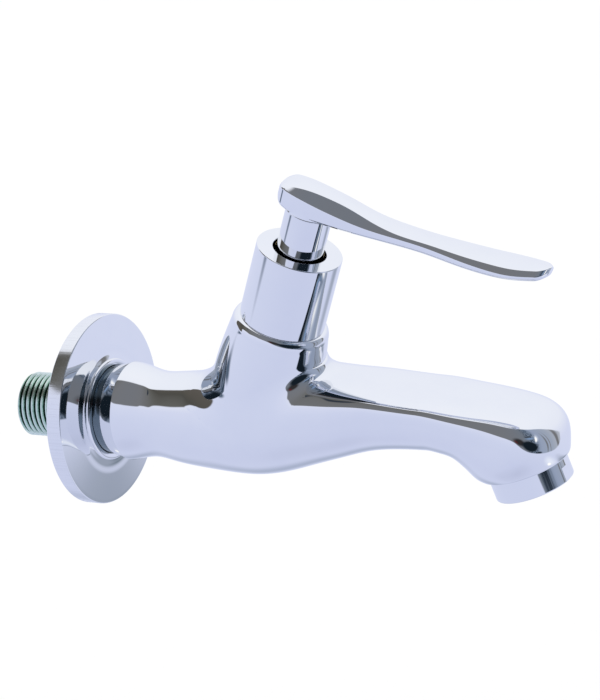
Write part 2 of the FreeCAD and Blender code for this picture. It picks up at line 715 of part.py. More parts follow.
def aerator_housing():
    """Collar of the aerator with its thread and two spanner flats."""
    solid = turned([
        (AERATOR_MOUTH_R, 0),
        (AERATOR_R - AERATOR_EDGE, 0),
        (AERATOR_R, AERATOR_EDGE),
        (AERATOR_R, COLLAR_DROP),
        (AERATOR_THREAD_R, COLLAR_DROP),
        (AERATOR_THREAD_R, AERATOR_TOP),
        (AERATOR_BORE_R, AERATOR_TOP),
        (AERATOR_BORE_R, AERATOR_LIP),
        (AERATOR_MOUTH_R, AERATOR_LIP),
    ])
    for side in (-1, 1):
        depth = AERATOR_R - AERATOR_FLAT + OVERRUN
        corner = AERATOR_FLAT if side > 0 else -AERATOR_FLAT - depth
        block = Part.makeBox(depth, 2 * AERATOR_R, AERATOR_FLAT_H + OVERRUN, vec(corner, -AERATOR_R, -OVERRUN))
        solid = solid.cut(block)
    return on_outlet(solid)


def aerator_mesh():
    """Outlet screen: a thin disc with square holes."""
    outer = AERATOR_BORE_R - INSERT_CLEAR
    disc = rod(outer, AERATOR_LIP, AERATOR_LIP + MESH_T)
    clear = AERATOR_MOUTH_R - MESH_FRAME
    hole = MESH_PITCH - MESH_BAR
    count = int(clear / MESH_PITCH)
    holes = []
    for i in range(-count, count + 1):
        for j in range(-count, count + 1):
            x = i * MESH_PITCH
            y = j * MESH_PITCH
            if math.hypot(abs(x) + hole / 2, abs(y) + hole / 2) < clear:
                corner = vec(x - hole / 2, y - hole / 2, AERATOR_LIP - OVERRUN)
                holes.append(Part.makeBox(hole, hole, MESH_T + 2 * OVERRUN, corner))
    return on_outlet(disc.cut(Part.makeCompound(holes)))


def aerator_insert():
    """Plastic jet plate and mixing cup above the screen."""
    outer = AERATOR_BORE_R - INSERT_CLEAR
    foot = AERATOR_LIP + MESH_T
    inner = outer - INSERT_WALL
    top = foot + INSERT_H
    solid = turned([
        (inner, foot),
        (outer, foot),
        (outer, top),
        (0, top),
        (0, top - INSERT_PLATE),
        (inner, top - INSERT_PLATE),
    ])
    for i in range(INSERT_HOLES):
        angle = 2 * math.pi * i / INSERT_HOLES
        centre = vec(INSERT_HOLE_RING_R * math.cos(angle), INSERT_HOLE_RING_R * math.sin(angle), foot)
        solid = solid.cut(Part.makeCylinder(INSERT_HOLE_R, INSERT_H + OVERRUN, centre))
    return on_outlet(solid)


def aerator_washer():
    """Rubber washer between the aerator and the floor of its socket."""
    inner = (AERATOR_BORE_R + SPOUT_WAY_R) / 2
    return on_outlet(ring(inner, AERATOR_THREAD_R, AERATOR_TOP, AERATOR_BORE_TOP))


NODES = {
    "tap_body": tap_body,
    "inlet_nipple": inlet_nipple,
    "nipple_washer": nipple_washer,
    "wall_flange": wall_flange,
    "headwork_housing": headwork_housing,
    "headwork_ring": headwork_ring,
    "disc_seal": disc_seal,
    "fixed_disc": fixed_disc,
    "moving_disc": moving_disc,
    "thrust_washer": thrust_washer,
    "spindle": spindle,
    "spindle_rings": spindle_rings,
    "spindle_clip": spindle_clip,
    "sleeve_ring": sleeve_ring,
    "bonnet_sleeve": bonnet_sleeve,
    "lever_handle": lever_handle,
    "grub_screw": grub_screw,
    "aerator_housing": aerator_housing,
    "aerator_mesh": aerator_mesh,
    "aerator_insert": aerator_insert,
    "aerator_washer": aerator_washer,
}


def main():
    os.makedirs(PARTS_DIR, exist_ok=True)
    for name, make in NODES.items():
        shape = make()
        solids = len(shape.Solids)
        print(f"{name}: valid {shape.isValid()}, solids {solids}, volume {shape.Volume:.1f}")
        shape.exportStep(os.path.join(PARTS_DIR, name + ".step"))


main()
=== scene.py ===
import math

import bpy
import numpy as np
from mathutils import Matrix, Vector

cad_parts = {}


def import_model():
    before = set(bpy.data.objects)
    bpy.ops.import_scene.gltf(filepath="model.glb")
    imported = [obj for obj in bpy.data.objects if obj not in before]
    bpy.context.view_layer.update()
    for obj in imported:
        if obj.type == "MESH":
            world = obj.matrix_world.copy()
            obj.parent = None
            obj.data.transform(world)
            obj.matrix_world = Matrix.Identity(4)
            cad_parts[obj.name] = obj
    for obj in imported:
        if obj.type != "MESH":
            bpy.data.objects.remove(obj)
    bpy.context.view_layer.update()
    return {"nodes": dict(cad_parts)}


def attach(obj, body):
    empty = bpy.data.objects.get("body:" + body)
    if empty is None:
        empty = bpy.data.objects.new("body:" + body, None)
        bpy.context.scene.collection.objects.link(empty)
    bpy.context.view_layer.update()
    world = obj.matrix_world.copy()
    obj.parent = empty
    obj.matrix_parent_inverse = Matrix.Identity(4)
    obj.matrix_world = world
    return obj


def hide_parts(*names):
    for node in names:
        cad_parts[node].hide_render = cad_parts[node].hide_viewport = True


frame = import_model()

MM = 0.001

# Camera, fitted to the photograph
CAMERA_AZIMUTH = 28.62
CAMERA_ELEVATION = 20.97
CAMERA_ROLL = -7.81
CAMERA_DISTANCE = 800.0
CAMERA_TARGET = (78.02, 0.0, 24.62)
CAMERA_LENS = 154.73
CAMERA_SENSOR = 36.0

# Sizes of the tap in millimetres. Its bevels, rounds and blends are finer than those of its solids.
FLANGE_R = 31.0
FLANGE_T = 5.2
FLANGE_EDGE = 0.35
FLANGE_RIM = 2.2
FLANGE_RECESS = 2.6
FLANGE_HUB_FOOT_R = 20.2
FLANGE_HUB_R = 16.6
FLANGE_HUB_X = 7.0
FLANGE_HUB_ROUND = 0.7
FLANGE_HUB_HOLLOW = 0.25
FLANGE_BORE_R = 14.4
FLANGE_CROWN = 0.65
FLANGE_SOFT = 1.1
FLANGE_FACE_END = 1.5
FLANGE_BACK_EDGE = 0.4
SHANK_R = 14.3
SHANK_BACK = 2.8
SHANK_BORE_R = 10.53
SHANK_BORE_END = 16.3
WATERWAY_R = 8.5
WATERWAY_END = 56.0
NECK_X = 9.8
NECK_R = 16.2
NECK_BAND = 3.4
NECK_EDGE = 0.5
NECK_BACK_R = 14.9
BEVEL_END = 14.6
BEVEL_RING = 0.15
BEVEL_FALL = 0.04
TOWER_X = 59.3
TOWER_TILT = 22.0
BOSS_TOP = 37.6
BOSS_TOP_R = 13.2
CROWN_H = 3.0
CROWN_W = 2.15
BOSS_SHOULDER_R = 15.65
BOSS_SHOULDER_DROP = 5.2
BOSS_WAIST_R = 17.1
BOSS_WAIST_H = 17.0
BOSS_BASE_R = 16.3
BOSS_BASE_H = 1.0
BOSS_BLEND = 6.0
BLEND_SPREAD = 0.25
BLEND_BEHIND = 0.7
BOSS_TAPER = 0.08
CHAMBER_R = 9.8
CHAMBER_LOW = 9.5
CHAMBER_TOP = 30.0
HEAD_BORE_R = 10.5
HEAD_BORE_LOW = 24.0
MOUTH_R = 12.1
MOUTH_DEPTH = 1.7
OUTLET_X = 152.15
OUTLET_Z = -15.64
OUTLET_TILT = 16.35
COLLAR_DROP = 7.0
COLLAR_R = 12.45
COLLAR_EDGE = 0.4
COLLAR_FLAT = 12.1
COLLAR_FLAT_H = 4.5
COLLAR_THREAD_R = 11.9
COLLAR_TOP = 12.0
COLLAR_BORE_R = 10.2
COLLAR_LIP = 1.0
COLLAR_MOUTH_R = 9.6
COLLAR_CLEAR = 0.05
SOCKET_TOP = 13.6
RIM_R = 13.93
RIM_ROUND = 0.7
FAN_REACH = 30.0
SLEEVE_R = 13.45
SLEEVE_BORE_R = 11.65
SLEEVE_TOP = 62.5
SLEEVE_ROOF = 5.0
SLEEVE_HOLE_R = 8.4
SLEEVE_EDGE = 0.35
POST_R = 7.3
POST_FOOT = 51.6
POST_TOP = 78.7
POST_FLARE = 1.0
FLARE_DROP = 0.6
ROOT_LOW = 76.3
SPLINE_SOCKET_R = 3.9
SPLINE_SOCKET_TOP = 71.6
GRUB_R = 2.0
GRUB_H = 67.0
THREAD_CREST_R = 10.45
THREAD_ROOT_R = 9.3
SMALL_BEVEL = 0.3
FINE_BEVEL = 0.2
OVERRUN = 1.0

# Place along x, height of the widest level, half width, rise, drop, squareness above and below
TRUNK = [
    (18.5, 0.0, 15.2, 15.2, 15.2, 2.0, 2.0),
    (24.5, -0.4, 14.0, 14.0, 14.0, 2.0, 2.0),
    (32.0, -0.9, 14.6, 14.6, 14.6, 2.0, 2.0),
    (42.0, -1.0, 15.7, 15.7, 15.7, 2.0, 2.0),
    (52.0, -0.4, 17.5, 16.6, 16.8, 2.0, 2.0),
    (62.0, 0.6, 18.3, 17.2, 17.8, 2.1, 2.0),
    (72.0, 2.2, 18.3, 16.0, 17.5, 2.4, 2.0),
    (82.0, 4.2, 17.5, 14.0, 16.2, 2.75, 2.1),
    (92.0, 5.8, 16.6, 11.2, 14.5, 3.2, 2.2),
    (102.0, 7.3, 15.8, 8.7, 13.1, 3.9, 2.2),
    (112.0, 8.0, 15.5, 6.9, 12.5, 4.3, 2.2),
]
# Share of the fan's angle, share of its reach, half width, rise, drop, squareness above and below
NOSE = [
    (0.0, 0.845, 15.5, 6.2, 12.1, 4.3, 2.2),
    (0.25, 0.853, 15.8, 6.5, 12.2, 4.0, 2.2),
    (0.45, 0.884, 16.1, 8.7, 12.7, 3.7, 2.1),
    (0.61, 0.921, 16.5, 12.2, 14.1, 3.5, 2.0),
    (0.75, 0.966, 16.9, 15.2, 15.2, 3.4, 2.0),
    (0.87, 0.985, 16.5, 15.8, 15.3, 3.0, 2.0),
    (0.95, 0.992, 15.2, 14.8, 14.7, 2.4, 2.0),
]
# Reach, half width of the top face, half width of the side, heights of the top face, of the side's
# upper edge and of the underside
LEVER = [
    (-9.9, 3.0, 3.9, 83.2, 82.35, 78.4),
    (-9.2, 3.9, 5.0, 83.6, 82.65, 77.7),
    (-7.0, 4.7, 6.6, 84.2, 82.77, 76.8),
    (-2.5, 4.2, 7.5, 84.8, 82.5, 76.3),
    (4.0, 3.7, 7.5, 84.9, 81.9, 76.6),
    (12.0, 3.5, 7.0, 84.4, 81.3, 77.3),
    (20.0, 3.7, 6.3, 83.4, 81.1, 78.1),
    (30.0, 4.3, 5.8, 83.3, 82.0, 79.4),
    (40.0, 4.4, 5.7, 84.3, 83.0, 80.6),
    (50.0, 5.1, 6.7, 85.5, 83.9, 81.7),
    (60.0, 5.6, 7.5, 87.0, 85.1, 83.2),
    (68.0, 5.4, 7.4, 88.6, 86.7, 85.0),
    (73.0, 4.2, 6.2, 89.9, 88.1, 86.4),
    (75.8, 2.4, 4.2, 90.7, 89.2, 87.5),
    (76.9, 0.8, 1.9, 91.0, 89.8, 88.2),
]
LEVER_UNDER_EDGE = 0.9
LEVER_CROWN = 0.35
LEVER_CORNER = 0.35
CORNER_SHARE = 0.35

# The studio around the tap, in degrees to the right of the camera's side and up from its level.
# A pale tent with one dark arched opening behind the camera: its upper and lower edge.
OPENING_UPPER = [(-118, -30), (-114, 22), (-110, 38), (-100, 49), (-90, 54), (-75, 60), (-60, 67),
                 (-52, 69), (-45, 70), (-30, 71), (30, 72), (60, 68), (80, 62), (95, 54), (108, 40),
                 (116, 24), (120, 5), (124, -30)]
OPENING_LOWER = [(-118, 40), (-114, 20), (-106, 12), (-98, 3), (-93, 4), (-86, 17), (-79, 22),
                 (-68, 21), (-60, 17), (-50, 18), (-42, 18), (-35, 15), (-25, 13), (-18, 10), (-8, -2),
                 (0, -11), (10, -17), (25, -22), (45, -23), (60, -22), (75, -19), (95, -10), (110, 0),
                 (119, 8), (124, 40)]
# The tent from below to above, and the room beyond the opening from left to right
TENT = [(-90, (186, 193, 220)), (-62, (197, 204, 231)), (-40, (200, 207, 233)), (-15, (203, 210, 235)),
        (10, (209, 215, 238)), (32, (228, 232, 244)), (60, (233, 237, 247)), (90, (236, 239, 248))]
ROOM = [(-114, (90, 86, 82)), (-95, (84, 81, 76)), (-84, (76, 75, 71)), (-70, (94, 94, 91)),
        (-60, (104, 105, 106)), (-38, (113, 115, 120)), (-8, (112, 116, 124)), (24, (108, 116, 128)),
        (45, (116, 130, 150)), (70, (146, 158, 182)), (100, (152, 162, 180)), (119, (172, 177, 188))]
# Clutter in the room: from where to where it fades in and out again, and its colour
CLUTTER_IN = (15.0, 32.0)
CLUTTER_OUT = (52.0, 66.0)
CLUTTER_SHADE = (52, 66, 84)
# Things in the room and on the tent: place across and up, half width, half height, turn, softness of
# the edge, colour, strength
THINGS = {
    "dark_wall": (0, 14, 18, 21, 0, 0.6, (40, 36, 36), 0.95),
    "camera": (30, 3, 31, 25, -8, 0.35, (20, 29, 38), 1.0),
    "tripod": (60, -20, 16, 7, 18, 0.5, (30, 40, 50), 0.95),
    "red_cloth": (-9, 12, 4, 9, 24, 0.6, (90, 30, 36), 0.7),
    "blue_glow": (38, 35, 26, 5, 6, 0.8, (126, 152, 188), 0.85),
    "shelf": (34, 42, 18, 3, 8, 0.6, (38, 46, 56), 0.85),
    "window_glow": (61, 34, 19, 10, 55, 1.0, (222, 229, 245), 0.75),
    "window": (58, 31, 14, 5, 62, 0.6, (255, 255, 255), 1.0),
    "left_post": (-63, 52, 3, 11, 25, 0.6, (34, 44, 58), 0.9),
    "drape_1": (87, 14, 3.5, 40, 6, 0.7, (106, 108, 112), 0.9),
    "drape_2": (95, 14, 1.5, 40, 6, 0.7, (112, 108, 106), 0.8),
    "drape_3": (114, 12, 3.5, 40, 6, 0.7, (104, 104, 106), 0.9),
}
TENT_THINGS = {
    "left_fold": (-105, -6, 12, 4.5, -47, 0.7, (66, 84, 104), 0.95),
    "lamp_glow": (101, -30, 18, 14, 0, 1.0, (232, 238, 250), 0.8),
    "lamp": (103.5, -35, 4, 4, 0, 0.4, (255, 255, 255), 1.0),
    "stand": (127, -15, 24, 12, 0, 0.6, (148, 157, 175), 1.0),
    "stand_leg": (131, -13, 9, 5, 0, 1.0, (112, 124, 138), 0.9),
    "table_left": (-180, -34, 42, 24, 0, 1.0, (160, 170, 194), 0.85),
    "table_right": (180, -34, 42, 24, 0, 1.0, (160, 170, 194), 0.85),
}
OPENING_SOFTNESS = 1.4
TENT_LIGHT = 1.05
CHROME = (0.88, 0.89, 0.905)
FLOOR_Z = -0.3
FLOOR_HALF = 4.0
FLOOR_SHADE = 0.955
FLOOR_GRAIN = 0.01

# How finely the pieces are divided, and how the casting's skin is settled
AROUND = 180
FINE_AROUND = 192
FLANGE_AROUND = 256
SKIN_STEP = 0.8
TOWER_STEPS = 46
CROWN_STEPS = 14
RIM_STEPS = 6
HUB_STEPS = 13
FACE_STEPS = 70
SOFT_STEPS = 9
LEVER_ROOT_STEPS = 10
LEVER_STEPS = 110
LEVER_TIP_STEPS = 12
BLEND_REACH = 2.6
BLEND_STOP = 9.0
SETTLING_ROUNDS = 9
FACING_STEP = 0.05
SLOPE_STEP = 0.03
LEAST_FACING = 0.02
FLATTEST = 0.2
ON_SKIN = 0.25
UNDER_CROWN = 0.01
CASTING_CREASE = 35
TURNED_CREASE = 50
AREA_WEIGHT = 90
# Kinds of the casting's faces while it is made: its blended skin, and every other face
SKIN = 0
OTHER = 1
# Its materials afterwards, and how far their borders lie from its surfaces
CHROMED = 0
RAW = 1
# Painted shade: the shank's chrome, painted dark where the flange shadows it
PAINTED_SHADE = 2
INSIDE_DEPTH = 1.2
NECK_DEPTH = 1.0
BACK_DEPTH = 0.05
BORE_DEPTH = 0.5

QUARTER = math.pi / 2
TOWER = Matrix.Translation((TOWER_X, 0, 0)) @ Matrix.Rotation(math.radians(TOWER_TILT), 4, "Y")
INLET = Matrix.Rotation(QUARTER, 4, "Y")
OUTLET = Matrix.Translation((OUTLET_X, 0, OUTLET_Z)) @ Matrix.Rotation(math.radians(-OUTLET_TILT), 4, "Y")
FAN = math.radians(90 - OUTLET_TILT)
PIVOT = OUTLET @ Vector((-FAN_REACH, 0, COLLAR_DROP))
TRUNK_END = PIVOT.x + FAN * FAN_REACH


def cubic(knots, values, at):
    """Natural cubic spline through rows of values, read at the places in at."""
    knots = np.asarray(knots, float)
    values = np.asarray(values, float)
    gap = np.diff(knots)
    rise = np.diff(values, axis=0) / gap[:, None]
    system = np.eye(len(knots))
    right = np.zeros_like(values)
    for i in range(1, len(knots) - 1):
        system[i, i - 1:i + 2] = gap[i - 1], 2 * (gap[i - 1] + gap[i]), gap[i]
        right[i] = 6 * (rise[i] - rise[i - 1])
    bend = np.linalg.solve(system, right)
    i = np.clip(np.searchsorted(knots, at) - 1, 0, len(gap) - 1)
    step = gap[i][:, None]
    a = (knots[i + 1] - at)[:, None] / step
    b = 1 - a
    curve = ((a ** 3 - a) * bend[i] + (b ** 3 - b) * bend[i + 1]) * step ** 2 / 6
    return a * values[i] + b * values[i + 1] + curve


def trunk_table():
    """Stations of the casting along its run, with levels above the pivot of the nose."""
    neck = (NECK_R, NECK_R, NECK_R, 2.0, 2.0)
    rows = [(x, -PIVOT.z, *neck) for x in (NECK_X, NECK_X + NECK_BAND)]
    rows += [(x, level - PIVOT.z, *shape) for x, level, *shape in TRUNK]
    rows += [(PIVOT.x + share * FAN * FAN_REACH, reach * FAN_REACH, *shape)
             for share, reach, *shape in NOSE]
    rows.append((TRUNK_END, FAN_REACH, RIM_R, RIM_R, RIM_R, 2.0, 2.0))
    return np.array(rows)


STATIONS = trunk_table()
BOSS_LINE = np.array([
    (BOSS_BASE_H, BOSS_BASE_R),
    (BOSS_WAIST_H, BOSS_WAIST_R),
    (BOSS_TOP - BOSS_SHOULDER_DROP, BOSS_SHOULDER_R),
    (BOSS_TOP - CROWN_H, BOSS_TOP_R + CROWN_W),
])


def trunk_shape(run):
    """Level, half width, rise, drop and squareness of the casting at places on its run."""
    run = np.clip(run, NECK_X, TRUNK_END)
    return cubic(STATIONS[:, 0], STATIONS[:, 1:], run).T


def trunk_point(run, across, along):
    """Points of the casting's run, from across and along its section."""
    turn = np.maximum(run - PIVOT.x, 0) / FAN_REACH
    x = np.minimum(run, PIVOT.x) + along * np.sin(turn)
    z = PIVOT.z + along * np.cos(turn)
    return np.stack([x, across, z], axis=-1)


def ring_angles(around=AROUND):
    return np.arange(around) * 2 * math.pi / around


def shank_ring(radius, x):
    """Ring of the shank with its points in the order of the casting's rings."""
    angle = ring_angles()
    return np.stack([np.full(AROUND, x), radius * np.cos(angle), radius * np.sin(angle)], axis=-1)


def trunk_ring(run, shrink=0.0):
    """One ring of the casting's skin, moved in by shrink."""
    level, width, rise, drop, power_up, power_down = trunk_shape(np.array([run]))[:, 0]
    angle = ring_angles()
    across = np.cos(angle)
    along = np.sin(angle)
    power = np.where(along >= 0, power_up, power_down)
    height = np.where(along >= 0, rise, drop)
    scale = (np.abs(across) ** power + np.abs(along) ** power) ** (-1 / power)
    return trunk_point(np.full(AROUND, run), (width - shrink) * across * scale,
                       level + (height - shrink) * along * scale)


def trunk_field(points):
    """Distance, roughly, from the casting's skin without its tower; negative inside."""
    x, y, z = points.T
    rise_z = z - PIVOT.z
    past = x > PIVOT.x
    turn = np.where(past, np.arctan2(x - PIVOT.x, rise_z), 0.0)
    along = np.where(past, np.hypot(x - PIVOT.x, rise_z), rise_z)
    run = np.where(past, PIVOT.x + turn * FAN_REACH, x)
    level, width, rise, drop, power_up, power_down = trunk_shape(run)
    off = along - level
    power = np.where(off >= 0, power_up, power_down)
    height = np.where(off >= 0, rise, drop)
    size = (np.abs(y / width) ** power + np.abs(off / height) ** power) ** (1 / power)
    size = np.maximum(size, 1e-6)
    return np.hypot(y, off) * (1 - 1 / size)


def tower_height(points):
    """Heights of points along the tower's leaning axis."""
    lean = math.radians(TOWER_TILT)
    return (points[:, 0] - TOWER_X) * math.sin(lean) + points[:, 2] * math.cos(lean)


def boss_field(points):
    """Distance, roughly, from the tower's side; negative inside."""
    lean = math.radians(TOWER_TILT)
    height = tower_height(points)
    reach = (points[:, 0] - TOWER_X) * math.cos(lean) - points[:, 2] * math.sin(lean)
    level = np.clip(height, BOSS_LINE[0, 0], BOSS_LINE[-1, 0])
    radius = cubic(BOSS_LINE[:, 0], BOSS_LINE[:, 1:], level)[:, 0]
    radius -= BOSS_TAPER * np.maximum(BOSS_BASE_H - height, 0) ** 2
    return np.hypot(reach, points[:, 1]) - radius


def slope(field, points, step):
    """Gradient of a field by central differences."""
    parts = []
    for axis in range(3):
        shift = np.zeros(3)
        shift[axis] = step
        parts.append((field(points + shift) - field(points - shift)) / (2 * step))
    return np.stack(parts, axis=-1)


def unit(vectors):
    return vectors / np.maximum(np.linalg.norm(vectors, axis=-1, keepdims=True), 1e-9)


def skin_field(points):
    """The casting and its tower with a rolled blend where they meet."""
    trunk = trunk_field(points)
    boss = boss_field(points)
    trunk_way = unit(slope(trunk_field, points, FACING_STEP))
    boss_way = unit(slope(boss_field, points, FACING_STEP))
    facing = np.sum(trunk_way * boss_way, axis=-1)
    behind = np.clip((TOWER_X - points[:, 0]) / BOSS_WAIST_R, 0, 1)
    spread = np.maximum(1 - facing, LEAST_FACING) ** BLEND_SPREAD
    width = BOSS_BLEND * spread * (1 + BLEND_BEHIND * behind)
    share = np.clip(0.5 + 0.5 * (boss - trunk) / width, 0, 1)
    return boss + (trunk - boss) * share - width * share * (1 - share)


def grid_mesh(name, rings, kinds=SKIN):
    """Closed mesh from rings of points, capped at both ends; one kind for all bands, or one for each."""
    rings = np.asarray(rings)
    count, around = rings.shape[:2]
    i = np.arange(count - 1)[:, None]
    j = np.arange(around)[None, :]
    after = (j + 1) % around
    quads = np.stack([i * around + j, i * around + after,
                      (i + 1) * around + after, (i + 1) * around + j], axis=-1).reshape(-1, 4)
    mesh = bpy.data.meshes.new(name)
    first = list(range(around))[::-1]
    last = list(range((count - 1) * around, count * around))
    mesh.from_pydata(rings.reshape(-1, 3).tolist(), [], quads.tolist() + [first, last])
    kinds = np.broadcast_to(kinds, count - 1)
    index = np.concatenate([np.repeat(kinds, around), kinds[[0, -1]]])
    mesh.polygons.foreach_set("material_index", index.astype(np.int32))
    mesh.validate()
    mesh.update()
    return mesh


def new_object(name, mesh):
    piece = bpy.data.objects.new(name, mesh)
    bpy.context.scene.collection.objects.link(piece)
    return piece


def lathe_rings(profile, place, around=AROUND):
    """Rings of (radius, height) points turned on Z and put in place."""
    angle = ring_angles(around)
    rings = []
    for radius, height in profile:
        local = np.stack([radius * np.cos(angle), radius * np.sin(angle), np.full(around, height)], axis=-1)
        rings.append(local @ np.array(place.to_3x3()).T + np.array(place.translation))
    return np.array(rings)


def bar(radius, low, high, place, around=48):
    """Round bar as an object, to cut with."""
    rings = lathe_rings([(radius, low), (radius, high)], place, around)
    return new_object("cutter", grid_mesh("cutter", rings, OTHER))


def arc(centre, radius, start, end, steps):
    """Points of an arc in a (radius, height) profile, between two angles in degrees."""
    turns = np.radians(np.linspace(start, end, steps + 1))
    return [(centre[0] + radius * math.cos(t), centre[1] + radius * math.sin(t)) for t in turns]


def boolean(piece, operation, tools):
    """Apply one exact boolean of several tools, and delete them."""
    group = bpy.data.collections.new("tools")
    for tool in tools:
        group.objects.link(tool)
    change = piece.modifiers.new("change", "BOOLEAN")
    change.operation = operation
    change.solver = "EXACT"
    change.operand_type = "COLLECTION"
    change.collection = group
    change.use_self = operation == "DIFFERENCE"
    apply_modifiers(piece)
    for tool in tools:
        bpy.data.objects.remove(tool)
    bpy.data.collections.remove(group)


def apply_modifiers(piece):
    graph = bpy.context.evaluated_depsgraph_get()
    graph.update()
    mesh = bpy.data.meshes.new_from_object(piece.evaluated_get(graph))
    piece.modifiers.clear()
    piece.data = mesh


def scale_to_metres(piece):
    piece.data.transform(Matrix.Scale(MM, 4))
    piece.data.update()


def casting():
    """The casting: one smooth skin over neck, belly, tower, spout and nose."""
    runs = np.arange(BEVEL_END + SKIN_STEP, TRUNK_END - RIM_ROUND, SKIN_STEP)
    runs = np.concatenate([[BEVEL_END, BEVEL_END + BEVEL_RING], runs, [TRUNK_END - RIM_ROUND]])
    front_r = trunk_shape(np.array([BEVEL_END]))[1][0]
    line = [(SHANK_R - SMALL_BEVEL, SHANK_BACK), (SHANK_R, SHANK_BACK + SMALL_BEVEL), (SHANK_R, NECK_X)]
    line += arc((NECK_BACK_R - NECK_EDGE, NECK_X + NECK_EDGE), NECK_EDGE, -90, 0, 5)
    line.append((front_r - (front_r - NECK_BACK_R) * BEVEL_FALL, BEVEL_END - BEVEL_RING))
    shank = [shank_ring(radius, x) for radius, x in line]
    skin = [trunk_ring(run) for run in runs]
    rim = [trunk_ring(TRUNK_END - RIM_ROUND * (1 - math.sin(turn)), RIM_ROUND * (1 - math.cos(turn)))
           for turn in np.linspace(0, QUARTER, RIM_STEPS + 1)[1:]]
    kinds = [OTHER] * len(shank) + [SKIN] * (len(skin) - 1) + [OTHER] * len(rim)
    piece = new_object("tap_casting", grid_mesh("tap_casting", shank + skin + rim, kinds))

    heights = np.linspace(BOSS_BASE_H, BOSS_TOP - CROWN_H, TOWER_STEPS)
    side = cubic(BOSS_LINE[:, 0], BOSS_LINE[:, 1:], heights)[:, 0]
    crown = [(BOSS_TOP_R + CROWN_W * x, BOSS_TOP - CROWN_H + CROWN_H * z)
             for x, z in arc((0, 0), 1, 0, 90, CROWN_STEPS)[1:]]
    rings = lathe_rings(list(zip(side, heights)) + crown, TOWER)
    boolean(piece, "UNION", [new_object("tower", grid_mesh("tower", rings))])

    boolean(piece, "DIFFERENCE", [
        bar(SHANK_BORE_R, 0, SHANK_BORE_END, INLET),
        bar(WATERWAY_R, SHANK_BORE_END - OVERRUN, WATERWAY_END, INLET),
        bar(CHAMBER_R, CHAMBER_LOW, CHAMBER_TOP, TOWER),
        bar(HEAD_BORE_R, HEAD_BORE_LOW, BOSS_TOP + OVERRUN, TOWER),
        bar(MOUTH_R, BOSS_TOP - MOUTH_DEPTH, BOSS_TOP + OVERRUN, TOWER),
        bar(COLLAR_THREAD_R + COLLAR_CLEAR, -OVERRUN, SOCKET_TOP, OUTLET),
    ])
    finish_skin(piece)
    return piece


def finish_skin(piece):
    """Settle the skin's points on the blended shape and give it that shape's own normals."""
    mesh = piece.data
    points = np.empty(len(mesh.vertices) * 3)
    mesh.vertices.foreach_get("co", points)
    points = points.reshape(-1, 3)
    kinds = np.empty(len(mesh.polygons), np.int32)
    mesh.polygons.foreach_get("material_index", kinds)
    corners = np.empty(len(mesh.loops), np.int32)
    mesh.loops.foreach_get("vertex_index", corners)
    sizes = np.empty(len(mesh.polygons), np.int32)
    mesh.polygons.foreach_get("loop_total", sizes)
    loop_kinds = np.repeat(kinds, sizes)
    outside = np.zeros(len(points), bool)
    outside[corners[loop_kinds == SKIN]] = True
    edge = np.zeros(len(points), bool)
    edge[corners[loop_kinds == OTHER]] = True
    height = tower_height(points)
    blend = outside & ~edge & (height < BOSS_TOP - BLEND_STOP)
    blend &= np.abs(trunk_field(points) - boss_field(points)) < BLEND_REACH * BOSS_BLEND
    spot = points[blend]
    for _ in range(SETTLING_ROUNDS):
        value = skin_field(spot)
        grade = slope(skin_field, spot, SLOPE_STEP)
        spot = spot - grade * (value / np.maximum(np.sum(grade * grade, axis=-1), FLATTEST))[:, None]
    points[blend] = spot
    mesh.vertices.foreach_set("co", points.ravel())
    mesh.update()

    smooth = outside & (np.abs(skin_field(points)) < ON_SKIN)
    crown = (boss_field(points) < trunk_field(points)) & (height > BOSS_TOP - CROWN_H - UNDER_CROWN)
    smooth &= ~crown
    smooth &= ~edge
    normals = np.zeros_like(points)
    normals[smooth] = unit(slope(skin_field, points[smooth], SLOPE_STEP))
    mesh.polygons.foreach_set("use_smooth", np.ones(len(mesh.polygons), bool))
    mesh.set_sharp_from_angle(angle=math.radians(CASTING_CREASE))
    loops = np.where((loop_kinds == SKIN)[:, None], normals[corners], 0.0)
    mesh.normals_split_custom_set(loops.tolist())
    scale_to_metres(piece)


def turned_piece(name, profile, place, around=AROUND, tools=()):
    """Turned piece from the closed (radius, height) outline of its section."""
    rings = lathe_rings(profile + profile[:1], place, around)
    count = len(rings)
    i = np.arange(count - 1)[:, None]
    j = np.arange(around)[None, :]
    after = (j + 1) % around
    quads = np.stack([i * around + j, i * around + after,
                      (i + 1) % (count - 1) * around + after,
                      (i + 1) % (count - 1) * around + j], axis=-1).reshape(-1, 4)
    mesh = bpy.data.meshes.new(name)
    mesh.from_pydata(rings[:-1].reshape(-1, 3).tolist(), [], quads.tolist())
    mesh.validate()
    mesh.update()
    piece = new_object(name, mesh)
    if tools:
        boolean(piece, "DIFFERENCE", tools)
    return finish_turned(piece)


def finish_turned(piece):
    """Smooth faces between sharp creases, with normals that follow the larger faces."""
    mesh = piece.data
    mesh.polygons.foreach_set("use_smooth", np.ones(len(mesh.polygons), bool))
    scale_to_metres(piece)
    weigh = piece.modifiers.new("weigh", "WEIGHTED_NORMAL")
    weigh.keep_sharp = True
    weigh.weight = AREA_WEIGHT
    mesh.set_sharp_from_angle(angle=math.radians(TURNED_CREASE))
    apply_modifiers(piece)
    return piece


